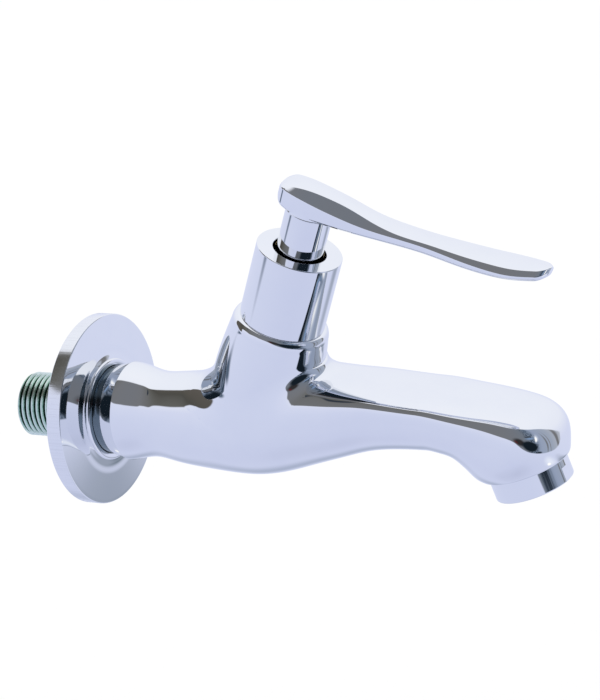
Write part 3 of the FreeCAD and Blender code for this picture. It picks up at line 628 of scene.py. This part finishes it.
def wall_flange():
    """Wall flange: crowned mirror face, low hub with a soft foot, recessed back."""
    hub_side = Vector((FLANGE_HUB_R, FLANGE_HUB_X - FLANGE_HUB_ROUND))
    foot = Vector((FLANGE_HUB_FOOT_R, FLANGE_T + FLANGE_CROWN))
    run = foot - hub_side
    inward = Vector((run.y, -run.x)).normalized()
    hollow = [hub_side + run * t + inward * FLANGE_HUB_HOLLOW * 4 * t * (1 - t)
              for t in np.linspace(0, 1, HUB_STEPS)]
    hollow.append(Vector((FLANGE_R - FLANGE_EDGE, FLANGE_T)))
    reach = np.linspace(FLANGE_HUB_R, FLANGE_R - FLANGE_FACE_END, FACE_STEPS)
    soft = [np.interp(reach + shift, [p.x for p in hollow], [p.y for p in hollow])
            for shift in np.linspace(-FLANGE_SOFT, FLANGE_SOFT, SOFT_STEPS)]
    face = list(zip(reach, np.mean(soft, axis=0)))[::-1]
    back_r = FLANGE_R - FLANGE_RIM
    hub = (FLANGE_HUB_R - FLANGE_HUB_ROUND, FLANGE_HUB_X - FLANGE_HUB_ROUND)
    profile = [(FLANGE_BORE_R, FLANGE_RECESS), (back_r, FLANGE_RECESS), (back_r, SMALL_BEVEL),
               (back_r + SMALL_BEVEL, 0), (FLANGE_R - FLANGE_BACK_EDGE, 0), (FLANGE_R, FLANGE_BACK_EDGE)]
    profile += arc((FLANGE_R - FLANGE_EDGE, FLANGE_T - FLANGE_EDGE), FLANGE_EDGE, 0, 86, 4)
    profile += face
    profile += arc(hub, FLANGE_HUB_ROUND, 0, 90, 6)
    profile += [(FLANGE_BORE_R + FINE_BEVEL, FLANGE_HUB_X), (FLANGE_BORE_R, FLANGE_HUB_X - FINE_BEVEL)]
    return turned_piece("flange_disc", profile, INLET, around=FLANGE_AROUND)


def bonnet_sleeve():
    """Plain sleeve over the headwork."""
    roof = SLEEVE_TOP - SLEEVE_ROOF
    edge = SLEEVE_EDGE
    profile = [(SLEEVE_BORE_R, BOSS_TOP), (SLEEVE_R - FINE_BEVEL, BOSS_TOP),
               (SLEEVE_R, BOSS_TOP + FINE_BEVEL)]
    profile += arc((SLEEVE_R - edge, SLEEVE_TOP - edge), edge, 0, 90, 4)
    profile += arc((SLEEVE_HOLE_R + edge, SLEEVE_TOP - edge), edge, 90, 180, 4)
    profile += [(SLEEVE_HOLE_R, roof), (SLEEVE_BORE_R, roof)]
    return turned_piece("sleeve_shell", profile, TOWER, around=FINE_AROUND)


def outlet_collar():
    """Collar of the aerator with two spanner flats."""
    edge = COLLAR_EDGE
    shoulder = COLLAR_DROP - COLLAR_CLEAR
    profile = [(COLLAR_MOUTH_R, SMALL_BEVEL), (COLLAR_MOUTH_R + SMALL_BEVEL, 0)]
    profile += arc((COLLAR_R - edge, edge), edge, -90, 0, 4)
    profile += [(COLLAR_R, shoulder), (COLLAR_THREAD_R, shoulder), (COLLAR_THREAD_R, COLLAR_TOP),
                (COLLAR_BORE_R, COLLAR_TOP), (COLLAR_BORE_R, COLLAR_LIP), (COLLAR_MOUTH_R, COLLAR_LIP)]
    far = COLLAR_R + OVERRUN
    tools = [block((near, -far, -OVERRUN), (end, far, COLLAR_FLAT_H), OUTLET)
             for near, end in ((-far, -COLLAR_FLAT), (COLLAR_FLAT, far))]
    return turned_piece("outlet_collar", profile, OUTLET, around=FINE_AROUND, tools=tools)


def block(low, high, place):
    """Box as an object, to cut with."""
    corners = [Vector((x, y, z)) for z in (low[2], high[2])
               for x, y in ((low[0], low[1]), (high[0], low[1]), (high[0], high[1]), (low[0], high[1]))]
    faces = [(3, 2, 1, 0), (4, 5, 6, 7), (0, 1, 5, 4), (1, 2, 6, 5), (2, 3, 7, 6), (3, 0, 4, 7)]
    mesh = bpy.data.meshes.new("block")
    mesh.from_pydata([place @ corner for corner in corners], [], faces)
    return new_object("block", mesh)


def rounded_corners(points, radius, steps):
    """Closed outline with each corner turned into a small arc."""
    result = []
    count = len(points)
    for i in range(count):
        corner = np.array(points[i], float)
        before = np.array(points[i - 1], float) - corner
        after = np.array(points[(i + 1) % count], float) - corner
        reach = min(radius, CORNER_SHARE * np.linalg.norm(before), CORNER_SHARE * np.linalg.norm(after))
        start = corner + unit(before) * reach
        end = corner + unit(after) * reach
        for k in range(steps + 1):
            t = k / steps
            result.append((1 - t) ** 2 * start + 2 * t * (1 - t) * corner + t * t * end)
    return result


def lever():
    """Lever with flat top, sloped bands and sides, and its round post."""
    table = np.array(LEVER)
    root, root_end, tip_start, tip = table[[0, 2, -3, -1], 0]
    reach = np.concatenate([np.linspace(root, root_end, LEVER_ROOT_STEPS)[:-1],
                            np.linspace(root_end, tip_start, LEVER_STEPS)[:-1],
                            np.linspace(tip_start, tip, LEVER_TIP_STEPS)])
    rows = cubic(table[:, 0], table[:, 1:], reach)
    rings = []
    for f, (top_half, side_half, top, side_top, under) in zip(reach, rows):
        edge = min(LEVER_UNDER_EDGE, side_half / 2)
        half = [(side_half - edge, under), (side_half, under + edge), (side_half, side_top)]
        half += [(y * top_half, top - LEVER_CROWN * y * y) for y in (1, 0.75, 0.5, 0.25)]
        outline = half + [(0, top)] + [(-y, h) for y, h in reversed(half)]
        section = rounded_corners(outline, LEVER_CORNER, 4)
        rings.append([TOWER @ Vector((f, y, h)) for y, h in section])
    rings = np.array([[tuple(p) for p in ring] for ring in rings])
    blade = new_object("lever_blade", grid_mesh("lever_blade", rings))
    profile = [(POST_R - SMALL_BEVEL, POST_FOOT), (POST_R, POST_FOOT + SMALL_BEVEL)]
    profile += arc((POST_R + POST_FLARE, ROOT_LOW - FLARE_DROP), POST_FLARE, 180, 100, 5)
    profile.append((POST_R, POST_TOP + OVERRUN))
    boolean(blade, "UNION", [new_object("post", grid_mesh("post", lathe_rings(profile, TOWER)))])
    grub_way = Matrix.Translation(TOWER @ Vector((0, 0, GRUB_H))) @ TOWER.to_3x3().to_4x4()
    grub_way = grub_way @ Matrix.Rotation(-QUARTER, 4, "Y")
    boolean(blade, "DIFFERENCE", [
        bar(SPLINE_SOCKET_R, POST_FOOT - OVERRUN, SPLINE_SOCKET_TOP, TOWER),
        bar(GRUB_R, 0, POST_R + 2 * OVERRUN, grub_way),
    ])
    return finish_turned(blade)


def put(tree, kind, inputs=(), out=0, **settings):
    """Add a node, feed its inputs with numbers or sockets, and return one of its outputs."""
    node = tree.nodes.new(kind)
    for name, value in settings.items():
        setattr(node, name, value)
    for key, value in inputs.items() if isinstance(inputs, dict) else enumerate(inputs):
        if isinstance(value, bpy.types.NodeSocket):
            tree.links.new(value, node.inputs[key])
        elif value is not None:
            node.inputs[key].default_value = value
    return node.outputs[out]


def calc(tree, operation, *values):
    return put(tree, "ShaderNodeMath", values, operation=operation)


def mix(tree, share, first, second):
    return put(tree, "ShaderNodeMix", {0: share, 6: first, 7: second}, out=2, data_type="RGBA")


def fade(tree, value, low, high, start=0.0, end=1.0):
    """Smooth step of a value from start to end."""
    values = (value, low, high, start, end)
    return put(tree, "ShaderNodeMapRange", values, interpolation_type="SMOOTHSTEP")


def length(tree, first, second):
    """Length of a vector from its two parts."""
    squares = [calc(tree, "MULTIPLY", part, part) for part in (first, second)]
    return calc(tree, "POWER", calc(tree, "ADD", *squares), 0.5)


def ramp(tree, value, stops):
    """Colour ramp over a value from 0 to 1."""
    node = tree.nodes.new("ShaderNodeValToRGB")
    tree.links.new(value, node.inputs[0])
    elements = node.color_ramp.elements
    while len(elements) < len(stops):
        elements.new(0.5)
    for element, (place, colour) in zip(elements, sorted(stops)):
        element.position = place
        element.color = (*colour, 1)
    return node.outputs[0]


def noise(tree, place, scale, detail=2.0, roughness=0.5, kind="3D"):
    inputs = {"Scale": scale, "Detail": detail, "Roughness": roughness}
    inputs["W" if kind == "1D" else "Vector"] = place
    return put(tree, "ShaderNodeTexNoise", inputs, noise_dimensions=kind)


def linear(colour):
    """Linear light of an sRGB colour given from 0 to 255."""
    return tuple(((c / 255 + 0.055) / 1.055) ** 2.4 for c in colour)


def new_material(name, colour=(0.8, 0.8, 0.8), **values):
    """Principled material, its tree and its shader; values go on the shader's own sockets."""
    material = bpy.data.materials.new(name)
    material.use_nodes = True
    shader = material.node_tree.nodes["Principled BSDF"]
    shader.inputs["Base Color"].default_value = (*colour, 1)
    for key, value in values.items():
        shader.inputs[key.replace("_", " ")].default_value = value
    return material, material.node_tree, shader


def object_place(tree):
    return put(tree, "ShaderNodeTexCoord", out="Object")


def bump(tree, shader, heights):
    """Chain of bumps from (height, distance in metres) pairs, into the shader's normal."""
    normal = None
    for height, distance in heights:
        inputs = {"Strength": 1.0, "Distance": distance, "Height": height, "Normal": normal}
        normal = put(tree, "ShaderNodeBump", inputs)
    tree.links.new(normal, shader.inputs["Normal"])


def paint(tree, shader, colour, roughness):
    """Feed a colour and a roughness into the shader."""
    tree.links.new(colour, shader.inputs["Base Color"])
    tree.links.new(roughness, shader.inputs["Roughness"])


def hazy_chrome(name, haze_scale, dull, haze_gloss=0.02):
    """Chrome material with its tree and shader, and the colour and roughness of its faint haze."""
    material, tree, shader = new_material(name, CHROME, Metallic=1.0, Roughness=0.03)
    haze = noise(tree, object_place(tree), haze_scale, 3.0, 0.6)
    colour = mix(tree, fade(tree, haze, 0.35, 0.75), (*CHROME, 1), (*dull, 1))
    rough = calc(tree, "MULTIPLY_ADD", fade(tree, haze, 0.4, 0.8), haze_gloss, 0.022)
    return material, tree, shader, colour, rough


def chrome_casting():
    """Polished chrome over a hand-ground casting: long soft waves, faint haze and pinpricks."""
    material, tree, shader, colour, rough = hazy_chrome(
        "chrome_casting_polished", 90.0, (0.865, 0.877, 0.9), 0.025)
    place = object_place(tree)
    pricks = fade(tree, noise(tree, place, 2600.0, 1.0), 0.74, 0.8)
    paint(tree, shader, colour, calc(tree, "MULTIPLY_ADD", pricks, 0.1, rough))
    waves = noise(tree, place, 75.0, 1.0, 0.4)
    ripples = noise(tree, place, 420.0, 2.0, 0.5)
    bump(tree, shader, [(waves, 0.00007), (ripples, 0.000002)])
    return material


def chrome_turned():
    """Chrome over turned brass: sharp mirror with a faint haze and very soft waves."""
    material, tree, shader, colour, rough = hazy_chrome(
        "chrome_turned_polished", 140.0, (0.868, 0.88, 0.902))
    paint(tree, shader, colour, rough)
    bump(tree, shader, [(noise(tree, object_place(tree), 60.0, 1.0, 0.4), 0.00003)])
    return material


def inlet_polar(tree):
    """Distance from the inlet axis, and place round it at the flange's rim, both in millimetres."""
    node = tree.nodes.new("ShaderNodeSeparateXYZ")
    tree.links.new(object_place(tree), node.inputs[0])
    y, z = node.outputs["Y"], node.outputs["Z"]
    radius = calc(tree, "MULTIPLY", length(tree, y, z), 1 / MM)
    return radius, calc(tree, "MULTIPLY", calc(tree, "ARCTAN2", z, y), FLANGE_R)


def flange_chrome():
    """Flange: mirror face with faint turning rings, and a rim with chatter marks across it."""
    material, tree, shader, colour, rough = hazy_chrome(
        "chrome_flange_polished", 120.0, (0.865, 0.878, 0.9))
    radius, around = inlet_polar(tree)
    rim = fade(tree, radius, FLANGE_R - 0.25, FLANGE_R - 0.05)
    chatter = noise(tree, around, 1.5, 2.0, 0.6, kind="1D")
    marks = calc(tree, "MULTIPLY", rim, fade(tree, chatter, 0.42, 0.7))
    worn = mix(tree, calc(tree, "MULTIPLY", marks, 0.5), colour, (0.79, 0.8, 0.82, 1))
    paint(tree, shader, worn, calc(tree, "MULTIPLY_ADD", rim, 0.13, rough))
    rings = noise(tree, radius, 2.6, 2.0, 0.6, kind="1D")
    bump(tree, shader, [(calc(tree, "MULTIPLY", chatter, rim), 0.000008), (rings, 0.0000012),
                        (noise(tree, object_place(tree), 45.0, 1.0, 0.4), 0.00004)])
    return material


def metal(name, light, dark, roughness, scale, depth=0.000004, stretch=(1, 1, 1)):
    """Machined or plated metal: two shades in noise, uneven gloss and fine tool marks."""
    material, tree, shader = new_material(name, light, Metallic=1.0, Roughness=roughness)
    place = put(tree, "ShaderNodeMapping", {"Vector": object_place(tree), "Scale": stretch})
    grain = noise(tree, place, scale, 3.0, 0.6)
    blotch = noise(tree, place, scale / 9, 2.0)
    shade = mix(tree, fade(tree, blotch, 0.35, 0.7), (*light, 1), (*dark, 1))
    paint(tree, shader, shade, calc(tree, "MULTIPLY_ADD", grain, roughness * 0.6, roughness * 0.7))
    bump(tree, shader, [(grain, depth)])
    return material


def moulded(name, light, dark, roughness, scale, depth, specular=0.5):
    """Rubber, fibre, plastic or ceramic: two close shades, uneven gloss and a fine grain."""
    material, tree, shader = new_material(name, light, Roughness=roughness)
    shader.inputs["Specular IOR Level"].default_value = specular
    place = object_place(tree)
    grain = noise(tree, place, scale, 4.0, 0.65)
    blotch = noise(tree, place, scale / 12, 2.0)
    shade = mix(tree, fade(tree, blotch, 0.35, 0.7), (*light, 1), (*dark, 1))
    shade = mix(tree, fade(tree, grain, 0.5, 0.8, 0.0, 0.5), shade, (*dark, 1))
    paint(tree, shader, shade, calc(tree, "MULTIPLY_ADD", grain, 0.2, roughness - 0.1))
    bump(tree, shader, [(grain, depth)])
    return material


def thread_metal():
    """Greenish nickel thread: bright painted highlight on the crests, dark green painted shade in the roots,
    torn flanks, and a plain end and bore.
    """
    material, tree, shader = new_material("nickel_cut_thread", (0.5, 0.6, 0.55), Metallic=1.0, Roughness=0.2)
    radius = inlet_polar(tree)[0]
    place = put(tree, "ShaderNodeMapping", {"Vector": object_place(tree), "Scale": (1.0, 0.35, 0.35)})
    tears = noise(tree, place, 1500.0, 4.0, 0.7)
    level = calc(tree, "ADD", radius, calc(tree, "MULTIPLY_ADD", tears, 0.5, -0.25))
    # Painted light: by distance from the axis, the colour runs from painted shade in the thread's roots to a
    # painted highlight on its crests.
    crest_highlight_root_shade = fade(tree, level, THREAD_ROOT_R + 0.1, THREAD_CREST_R - 0.4)
    shade = ramp(tree, crest_highlight_root_shade, [(0.0, (0.02, 0.09, 0.06)), (0.5, (0.06, 0.18, 0.12)),
                               (0.84, (0.36, 0.52, 0.43)), (1.0, (0.74, 0.86, 0.79))])
    cut = fade(tree, radius, THREAD_ROOT_R - 0.4, THREAD_ROOT_R - 0.15)
    shade = mix(tree, cut, (0.68, 0.67, 0.61, 1), shade)
    paint(tree, shader, shade, calc(tree, "MULTIPLY_ADD", tears, 0.22, 0.1))
    bump(tree, shader, [(tears, 0.00012)])
    return material


def finish_nodes():
    """Give each CAD node that stays a finished material of its slot's kind."""
    kinds = {
        "nickel_thread": thread_metal(),
        "brass": metal("machined_brass", (0.72, 0.53, 0.24), (0.6, 0.42, 0.17), 0.22, 900.0,
                       depth=0.00001, stretch=(1, 1, 6)),
        "steel": metal("stainless", (0.6, 0.61, 0.63), (0.48, 0.49, 0.51), 0.28, 1200.0),
        "ceramic": moulded("ceramic", (0.86, 0.85, 0.82), (0.8, 0.79, 0.76), 0.2, 900.0, 0.000002),
        "rubber": moulded("rubber", (0.018, 0.018, 0.02), (0.03, 0.03, 0.032), 0.55, 1500.0, 0.00002,
                          specular=0.35),
        "fibre": moulded("pressed_fibre", (0.42, 0.12, 0.07), (0.3, 0.08, 0.05), 0.8, 1800.0, 0.00004,
                         specular=0.2),
        "white_plastic": moulded("white_plastic", (0.82, 0.82, 0.8), (0.76, 0.76, 0.73), 0.4, 700.0,
                                 0.000006),
    }
    replaced = {node for make, node, body, slot, finish in PIECES}
    for name, item in frame["nodes"].items():
        if name not in replaced:
            for slot in item.material_slots:
                slot.material = kinds[slot.material.name.split(".")[0]]


def dress(piece, material):
    """One material all over a piece."""
    piece.data.materials.clear()
    piece.data.materials.append(material)
    index = np.zeros(len(piece.data.polygons), np.int32)
    piece.data.polygons.foreach_set("material_index", index)


def mark_inside(piece):
    """Raw brass inside the casting, and the shank's chrome painted dull and dark as painted shade in the
    flange's shadow.
    """
    raw = metal("raw_casting", (0.6, 0.45, 0.22), (0.42, 0.3, 0.15), 0.4, 600.0, depth=0.00004)
    piece.data.materials.append(raw)
    # Painted shade on the shank's chrome in the flange's shadow
    piece.data.materials.append(metal("shank_painted_shade", (0.2, 0.25, 0.28), (0.12, 0.16, 0.19), 0.16, 700.0))
    centres = np.empty(len(piece.data.polygons) * 3)
    piece.data.polygons.foreach_get("center", centres)
    centres = centres.reshape(-1, 3) / MM
    reach = np.hypot(centres[:, 1], centres[:, 2])
    index = np.where(skin_field(centres) < -INSIDE_DEPTH, RAW, CHROMED)
    index[tower_height(centres) > BOSS_TOP - CROWN_H] = CHROMED
    index[(centres[:, 0] < BEVEL_END) & (reach > SHANK_R - NECK_DEPTH)] = CHROMED
    # Painted shade: the shank behind the neck, in the flange's shadow, is painted dark.
    index[centres[:, 0] < NECK_X - BACK_DEPTH] = PAINTED_SHADE
    index[(centres[:, 0] < NECK_X) & (reach < SHANK_BORE_R + BORE_DEPTH)] = RAW
    piece.data.polygons.foreach_set("material_index", index.astype(np.int32))


# What makes each piece, the node that it stands for, its body, its slot and its finish
PIECES = (
    (casting, "tap_body", "root", "chrome_casting", "cast"),
    (wall_flange, "wall_flange", "flange", "chrome_turned", "flange"),
    (bonnet_sleeve, "bonnet_sleeve", "root", "chrome_turned", "turned"),
    (outlet_collar, "aerator_housing", "root", "chrome_turned", "turned"),
    (lever, "lever_handle", "lever", "chrome_casting", "cast"),
)


def build():
    """Make every piece, and finish it and the nodes that stay."""
    finishes = {"cast": chrome_casting(), "turned": chrome_turned(), "flange": flange_chrome()}
    for make, node, body, slot, finish in PIECES:
        piece = make()
        dress(piece, finishes[finish])
        if node == "tap_body":
            mark_inside(piece)
        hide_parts(node)
        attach(piece, body)
    finish_nodes()


def camera_axes():
    """Right, up and back of the photograph's camera."""
    azimuth = math.radians(CAMERA_AZIMUTH)
    elevation = math.radians(CAMERA_ELEVATION)
    roll = math.radians(CAMERA_ROLL)
    flat = math.cos(elevation)
    back = Vector((math.sin(azimuth) * flat, -math.cos(azimuth) * flat, math.sin(elevation)))
    level = Vector((math.cos(azimuth), math.sin(azimuth), 0))
    upright = back.cross(level)
    right = level * math.cos(roll) + upright * math.sin(roll)
    up = upright * math.cos(roll) - level * math.sin(roll)
    return right, up, back


def camera():
    """Camera at the photograph's place, with its angle of view."""
    right, up, back = camera_axes()
    data = bpy.data.cameras.new("camera")
    data.sensor_fit = "HORIZONTAL"
    data.sensor_width = CAMERA_SENSOR
    data.lens = CAMERA_LENS
    data.clip_start = 0.01
    data.clip_end = 50
    item = bpy.data.objects.new("camera", data)
    bpy.context.scene.collection.objects.link(item)
    place = Matrix((right, up, back)).transposed().to_4x4()
    place.translation = (Vector(CAMERA_TARGET) + back * CAMERA_DISTANCE) * MM
    item.matrix_world = place
    bpy.context.scene.camera = item


def seen_in_chrome(colour):
    """Light of a surrounding that chrome shows in this sRGB colour."""
    return tuple(light / tint for light, tint in zip(linear(colour), CHROME))


def edge_curve(tree, across, points):
    """Height of an edge of the opening, in degrees, from the place across it."""
    node = tree.nodes.new("ShaderNodeFloatCurve")
    tree.links.new(calc(tree, "MULTIPLY_ADD", across, 1 / 360, 0.5), node.inputs["Value"])
    curve = node.mapping.curves[0]
    ends = [(-180, points[0][1])] + points + [(180, points[-1][1])]
    spots = [(x / 360 + 0.5, y / 180 + 0.5) for x, y in ends]
    curve.points[0].location = spots[0]
    curve.points[1].location = spots[-1]
    for spot in spots[1:-1]:
        curve.points.new(*spot)
    for point in curve.points:
        point.handle_type = "AUTO_CLAMPED"
    node.mapping.update()
    return calc(tree, "MULTIPLY_ADD", node.outputs[0], 180.0, -90.0)


def thing(tree, across, height, under, row):
    """Lay one soft-edged elliptical thing, a row of the lists above, over a picture of the studio."""
    across_at, height_at, half_width, half_height, turn, soft, colour, strength = row
    lean = math.radians(turn)
    dx = calc(tree, "SUBTRACT", across, float(across_at))
    dy = calc(tree, "SUBTRACT", height, float(height_at))
    along = calc(tree, "ADD", calc(tree, "MULTIPLY", dx, math.cos(lean) / half_width),
                 calc(tree, "MULTIPLY", dy, math.sin(lean) / half_width))
    side = calc(tree, "SUBTRACT", calc(tree, "MULTIPLY", dy, math.cos(lean) / half_height),
                calc(tree, "MULTIPLY", dx, math.sin(lean) / half_height))
    share = fade(tree, length(tree, along, side), 1 - soft, 1.0, strength, 0.0)
    return mix(tree, share, under, (*seen_in_chrome(colour), 1))


def world():
    """Pale tent with a dark opening, seen by metal; plain white for the camera and for soft light."""
    surroundings = bpy.data.worlds.new("studio")
    surroundings.use_nodes = True
    bpy.context.scene.world = surroundings
    surroundings.cycles.sampling_method = "NONE"
    tree = surroundings.node_tree
    direction = put(tree, "ShaderNodeTexCoord", out="Generated")
    right, up, back = [put(tree, "ShaderNodeVectorMath", (direction, tuple(axis)), out="Value",
                           operation="DOT_PRODUCT") for axis in camera_axes()]
    across = calc(tree, "DEGREES", calc(tree, "ARCTAN2", right, back))
    height = calc(tree, "DEGREES", calc(tree, "ARCSINE", up))

    tent = ramp(tree, calc(tree, "MULTIPLY_ADD", height, 1 / 180, 0.5),
                [(at / 180 + 0.5, seen_in_chrome(colour)) for at, colour in TENT])
    for row in TENT_THINGS.values():
        tent = thing(tree, across, height, tent, row)

    room = ramp(tree, calc(tree, "MULTIPLY_ADD", across, 1 / 360, 0.5),
                [(at / 360 + 0.5, seen_in_chrome(colour)) for at, colour in ROOM])
    clutter = put(tree, "ShaderNodeCombineXYZ", (across, calc(tree, "MULTIPLY", height, 0.6), 0.0))
    specks = noise(tree, clutter, 0.22, 4.0, 0.7)
    near = calc(tree, "MULTIPLY", fade(tree, across, *CLUTTER_IN), fade(tree, across, *CLUTTER_OUT, 1.0, 0.0))
    dark = calc(tree, "MULTIPLY", near, fade(tree, specks, 0.44, 0.6))
    room = mix(tree, dark, room, (*seen_in_chrome(CLUTTER_SHADE), 1))
    for row in THINGS.values():
        room = thing(tree, across, height, room, row)

    above = edge_curve(tree, across, OPENING_UPPER)
    below = edge_curve(tree, across, OPENING_LOWER)
    inside = calc(tree, "MULTIPLY",
                  fade(tree, calc(tree, "SUBTRACT", above, height), -OPENING_SOFTNESS, OPENING_SOFTNESS),
                  fade(tree, calc(tree, "SUBTRACT", height, below), -OPENING_SOFTNESS, OPENING_SOFTNESS))
    picture = mix(tree, inside, tent, room)

    rays = tree.nodes.new("ShaderNodeLightPath").outputs
    mirrored = calc(tree, "MAXIMUM", rays["Is Glossy Ray"], rays["Is Transmission Ray"])
    plain = mix(tree, rays["Is Camera Ray"], (TENT_LIGHT, TENT_LIGHT, TENT_LIGHT, 1), (1, 1, 1, 1))
    background = tree.nodes["Background"]
    tree.links.new(mix(tree, mirrored, plain, picture), background.inputs["Color"])
    background.inputs["Strength"].default_value = 1.0


def floor():
    """Plain pale floor well below the tap, outside what its chrome mirrors."""
    corners = [(x * FLOOR_HALF, y * FLOOR_HALF, FLOOR_Z) for x, y in ((-1, -1), (1, -1), (1, 1), (-1, 1))]
    mesh = bpy.data.meshes.new("floor")
    mesh.from_pydata(corners, [], [(0, 1, 2, 3)])
    ground = new_object("floor", mesh)
    material, tree, shader = new_material("floor_paper", (FLOOR_SHADE,) * 3, Roughness=1.0)
    shader.inputs["Specular IOR Level"].default_value = 0.0
    grain = noise(tree, object_place(tree), 40.0, 2.0)
    pale = FLOOR_SHADE + FLOOR_GRAIN
    shade = mix(tree, grain, (FLOOR_SHADE, FLOOR_SHADE, FLOOR_SHADE, 1), (pale, pale, pale, 1))
    tree.links.new(shade, shader.inputs["Base Color"])
    mesh.materials.append(material)
    ground.visible_glossy = False


build()
camera()
world()
floor()
bpy.context.scene.view_settings.view_transform = "Standard"
